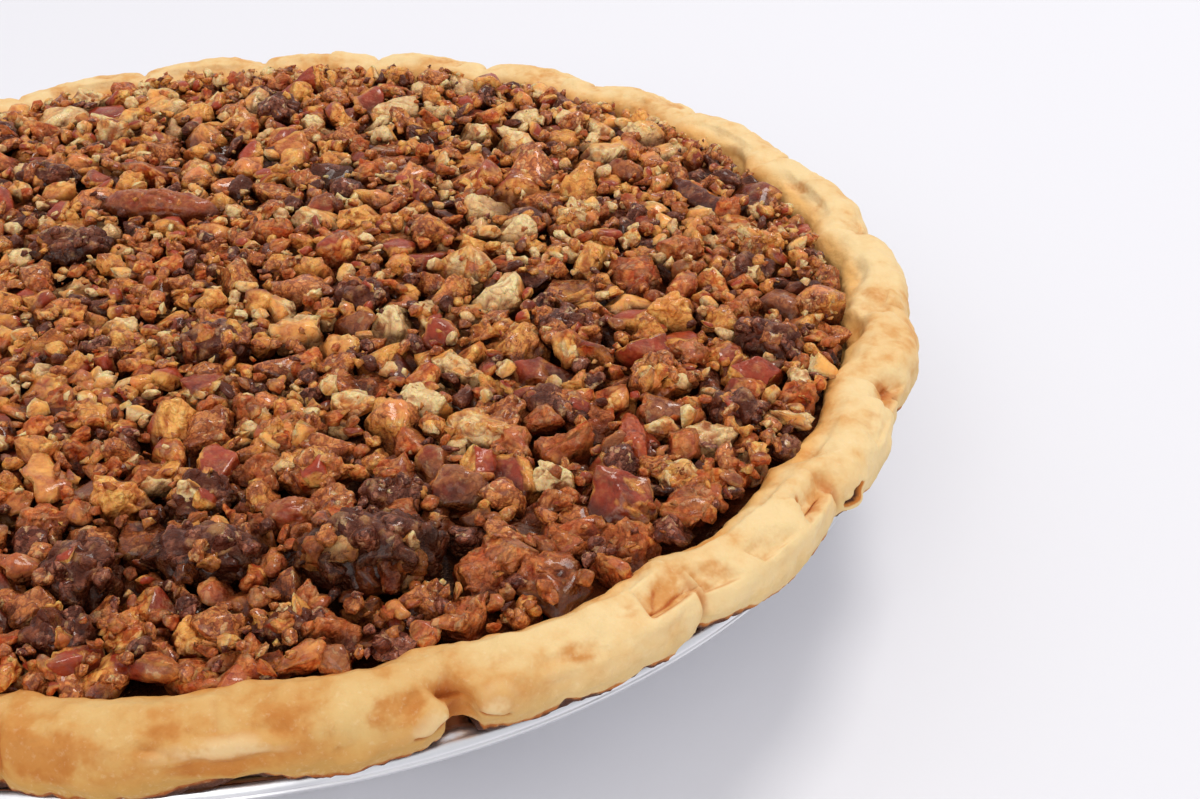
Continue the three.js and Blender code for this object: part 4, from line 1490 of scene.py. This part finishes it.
class PIE_OT_nuts(bpy.types.Operator):
    """Lays the large pecan pieces where the frame has them and scatters the chopped nuts between them"""

    bl_idname = "pie.nuts"
    bl_label = "Nuts"

    def execute(self, context):
        nuts, caramel = context.scene.pie_nuts, context.scene.pie_caramel
        finishes = {kind: nut_material(kind, nuts, caramel) for kind in SLOTS}
        fragments, chips = fragment_tree(), chip_tree()
        draw, scatter = (np.random.default_rng(nuts.seed + k) for k in (0, 1))

        def chipped(name, kind, rows, level, *nodes):
            mesh = chips_mesh(f"{name}_chips", rows, shapes, draw)
            piece = grown(name, mesh, chips, finishes[kind], level=level, **CHIPS[kind])
            placed(piece, SLOTS[kind], *nodes)

        heap = Heap(caramel)
        large = large_nuts(heap)
        layers = {
            layer: scattered_nuts(heap, scatter, getattr(nuts, layer), rule) for layer, rule in LAYERS.items()
        }
        surface = heap.levelled(MEAN_REACH)
        for kinds in (large, *layers.values()):
            for row in (row for rows in kinds.values() for row in rows):
                row["floor"] = float(surface[heap.spot(*row["centre"][:2])]) - DROWNED_AND_SHADED
        shapes = chip_shapes(draw, 60, 14)
        for kind, rows in large.items():
            nodes = [row["node"] for row in rows]
            if kind in CLUMPS:
                for part, bits in clump_bits(rows, CLUMPS[kind], draw).items():
                    chipped(f"{kind}_{part}_bits", part, bits, 2)
                rows = [{**row, "half": [0.84 * h for h in row["half"]], "tone": 0.2} for row in rows]
            if kind in FORMS:
                points = nut_points(kind, rows)
                piece = grown(f"large_{kind}", points, fragments, finishes[kind], detail=5, **FORMS[kind])
                placed(piece, SLOTS[kind], *nodes)
            else:
                chipped(f"large_{kind}", kind, rows, 4, *nodes)
        for layer, kinds in layers.items():
            front_level, back_level, corners = CHIP_DETAIL[layer]
            shapes = chip_shapes(draw, 80, corners)
            for kind, rows in kinds.items():
                front = [row for row in rows if row["centre"][1] < FRONT_EDGE]
                back = [row for row in rows if row["centre"][1] >= FRONT_EDGE]
                chipped(f"{layer}_{kind}_front", kind, front, front_level)
                chipped(f"{layer}_{kind}_back", kind, back, back_level)
        return {"FINISHED"}


class PIE_OT_stage(bpy.types.Operator):
    """Makes the pale floor, the soft light and the camera"""

    bl_idname = "pie.stage"
    bl_label = "Stage"

    def execute(self, context):
        scene, sizes = context.scene, context.scene.pie_stage
        reach = 6.0
        corners = [(-reach, -reach, 0), (reach, -reach, 0), (reach, reach, 0), (-reach, reach, 0)]
        floor = bpy.data.meshes.new("floor")
        floor.from_pydata(corners, [], [(0, 1, 2, 3)])
        material, graph, shader, _ = new_material("Pale floor")
        graph.fill(shader, {"Base Color": sizes.floor, "Roughness": 0.6})
        floor.materials.append(material)
        ground = linked("floor", floor)
        ground.location.z = -0.2 * MM

        eye = bpy.data.cameras.new("camera")
        eye.lens = sizes.lens
        eye.sensor_width = 36
        eye.clip_start = 0.01
        scene.camera = linked("camera", eye)
        upright = math.radians(90) - sizes.tip
        turn = Matrix.Rotation(-sizes.turn, 4, "Z") @ Matrix.Rotation(upright, 4, "X")
        scene.camera.matrix_world = Matrix.Translation(sizes.eye) @ turn @ Matrix.Rotation(sizes.roll, 4, "Z")

        lamps = {
            "key": ((0.6, 0.55, 1.3), 0.45, 8.0, (1.0, 0.97, 0.93)),
            "front": ((-0.5, -1.0, 0.9), 1.0, 5.0, (1.0, 0.98, 0.95)),
        }
        for name, (spot, size, power, tone) in lamps.items():
            lamp = bpy.data.lights.new(name, "AREA")
            lamp.size, lamp.energy, lamp.color = size, power, tone
            aim = (-Vector(spot)).to_track_quat("-Z", "Y").to_matrix().to_4x4()
            linked(name, lamp).matrix_world = Matrix.Translation(spot) @ aim

        world = bpy.data.worlds.new("Soft room")
        world.use_nodes = True
        sky = Graph(world.node_tree)
        sky.fill(sky.tree.nodes["Background"], {"Color": srgb(244, 245, 250), "Strength": 0.74})
        scene.world = world
        scene.view_settings.view_transform = "Standard"
        return {"FINISHED"}


class PIE_PT_panel(bpy.types.Panel):
    """Lists the steps of the pie and their sizes"""

    bl_label = "Pecan pie"
    bl_idname = "PIE_PT_panel"
    bl_space_type = "VIEW_3D"
    bl_region_type = "UI"
    bl_category = "Pecan pie"

    def draw(self, context):
        for group, kind in SIZE_GROUPS.items():
            box = self.layout.box()
            box.label(text=group.replace("_", " ").capitalize())
            for name in kind.__annotations__:
                box.prop(getattr(context.scene, group), name)
        for step in STEPS:
            self.layout.operator(step.bl_idname)


STEPS = (PIE_OT_tin, PIE_OT_crust, PIE_OT_syrup, PIE_OT_caramel, PIE_OT_nuts, PIE_OT_stage)


def register():
    for group, kind in SIZE_GROUPS.items():
        bpy.utils.register_class(kind)
        setattr(bpy.types.Scene, group, bpy.props.PointerProperty(type=kind))
    for step in (*STEPS, PIE_PT_panel):
        bpy.utils.register_class(step)


def unregister():
    for step in reversed((*STEPS, PIE_PT_panel)):
        bpy.utils.unregister_class(step)
    for group, kind in SIZE_GROUPS.items():
        delattr(bpy.types.Scene, group)
        bpy.utils.unregister_class(kind)


def main():
    register()
    for step in STEPS:
        group, name = step.bl_idname.split(".")
        getattr(getattr(bpy.ops, group), name)()


if __name__ == "__main__":
    main()
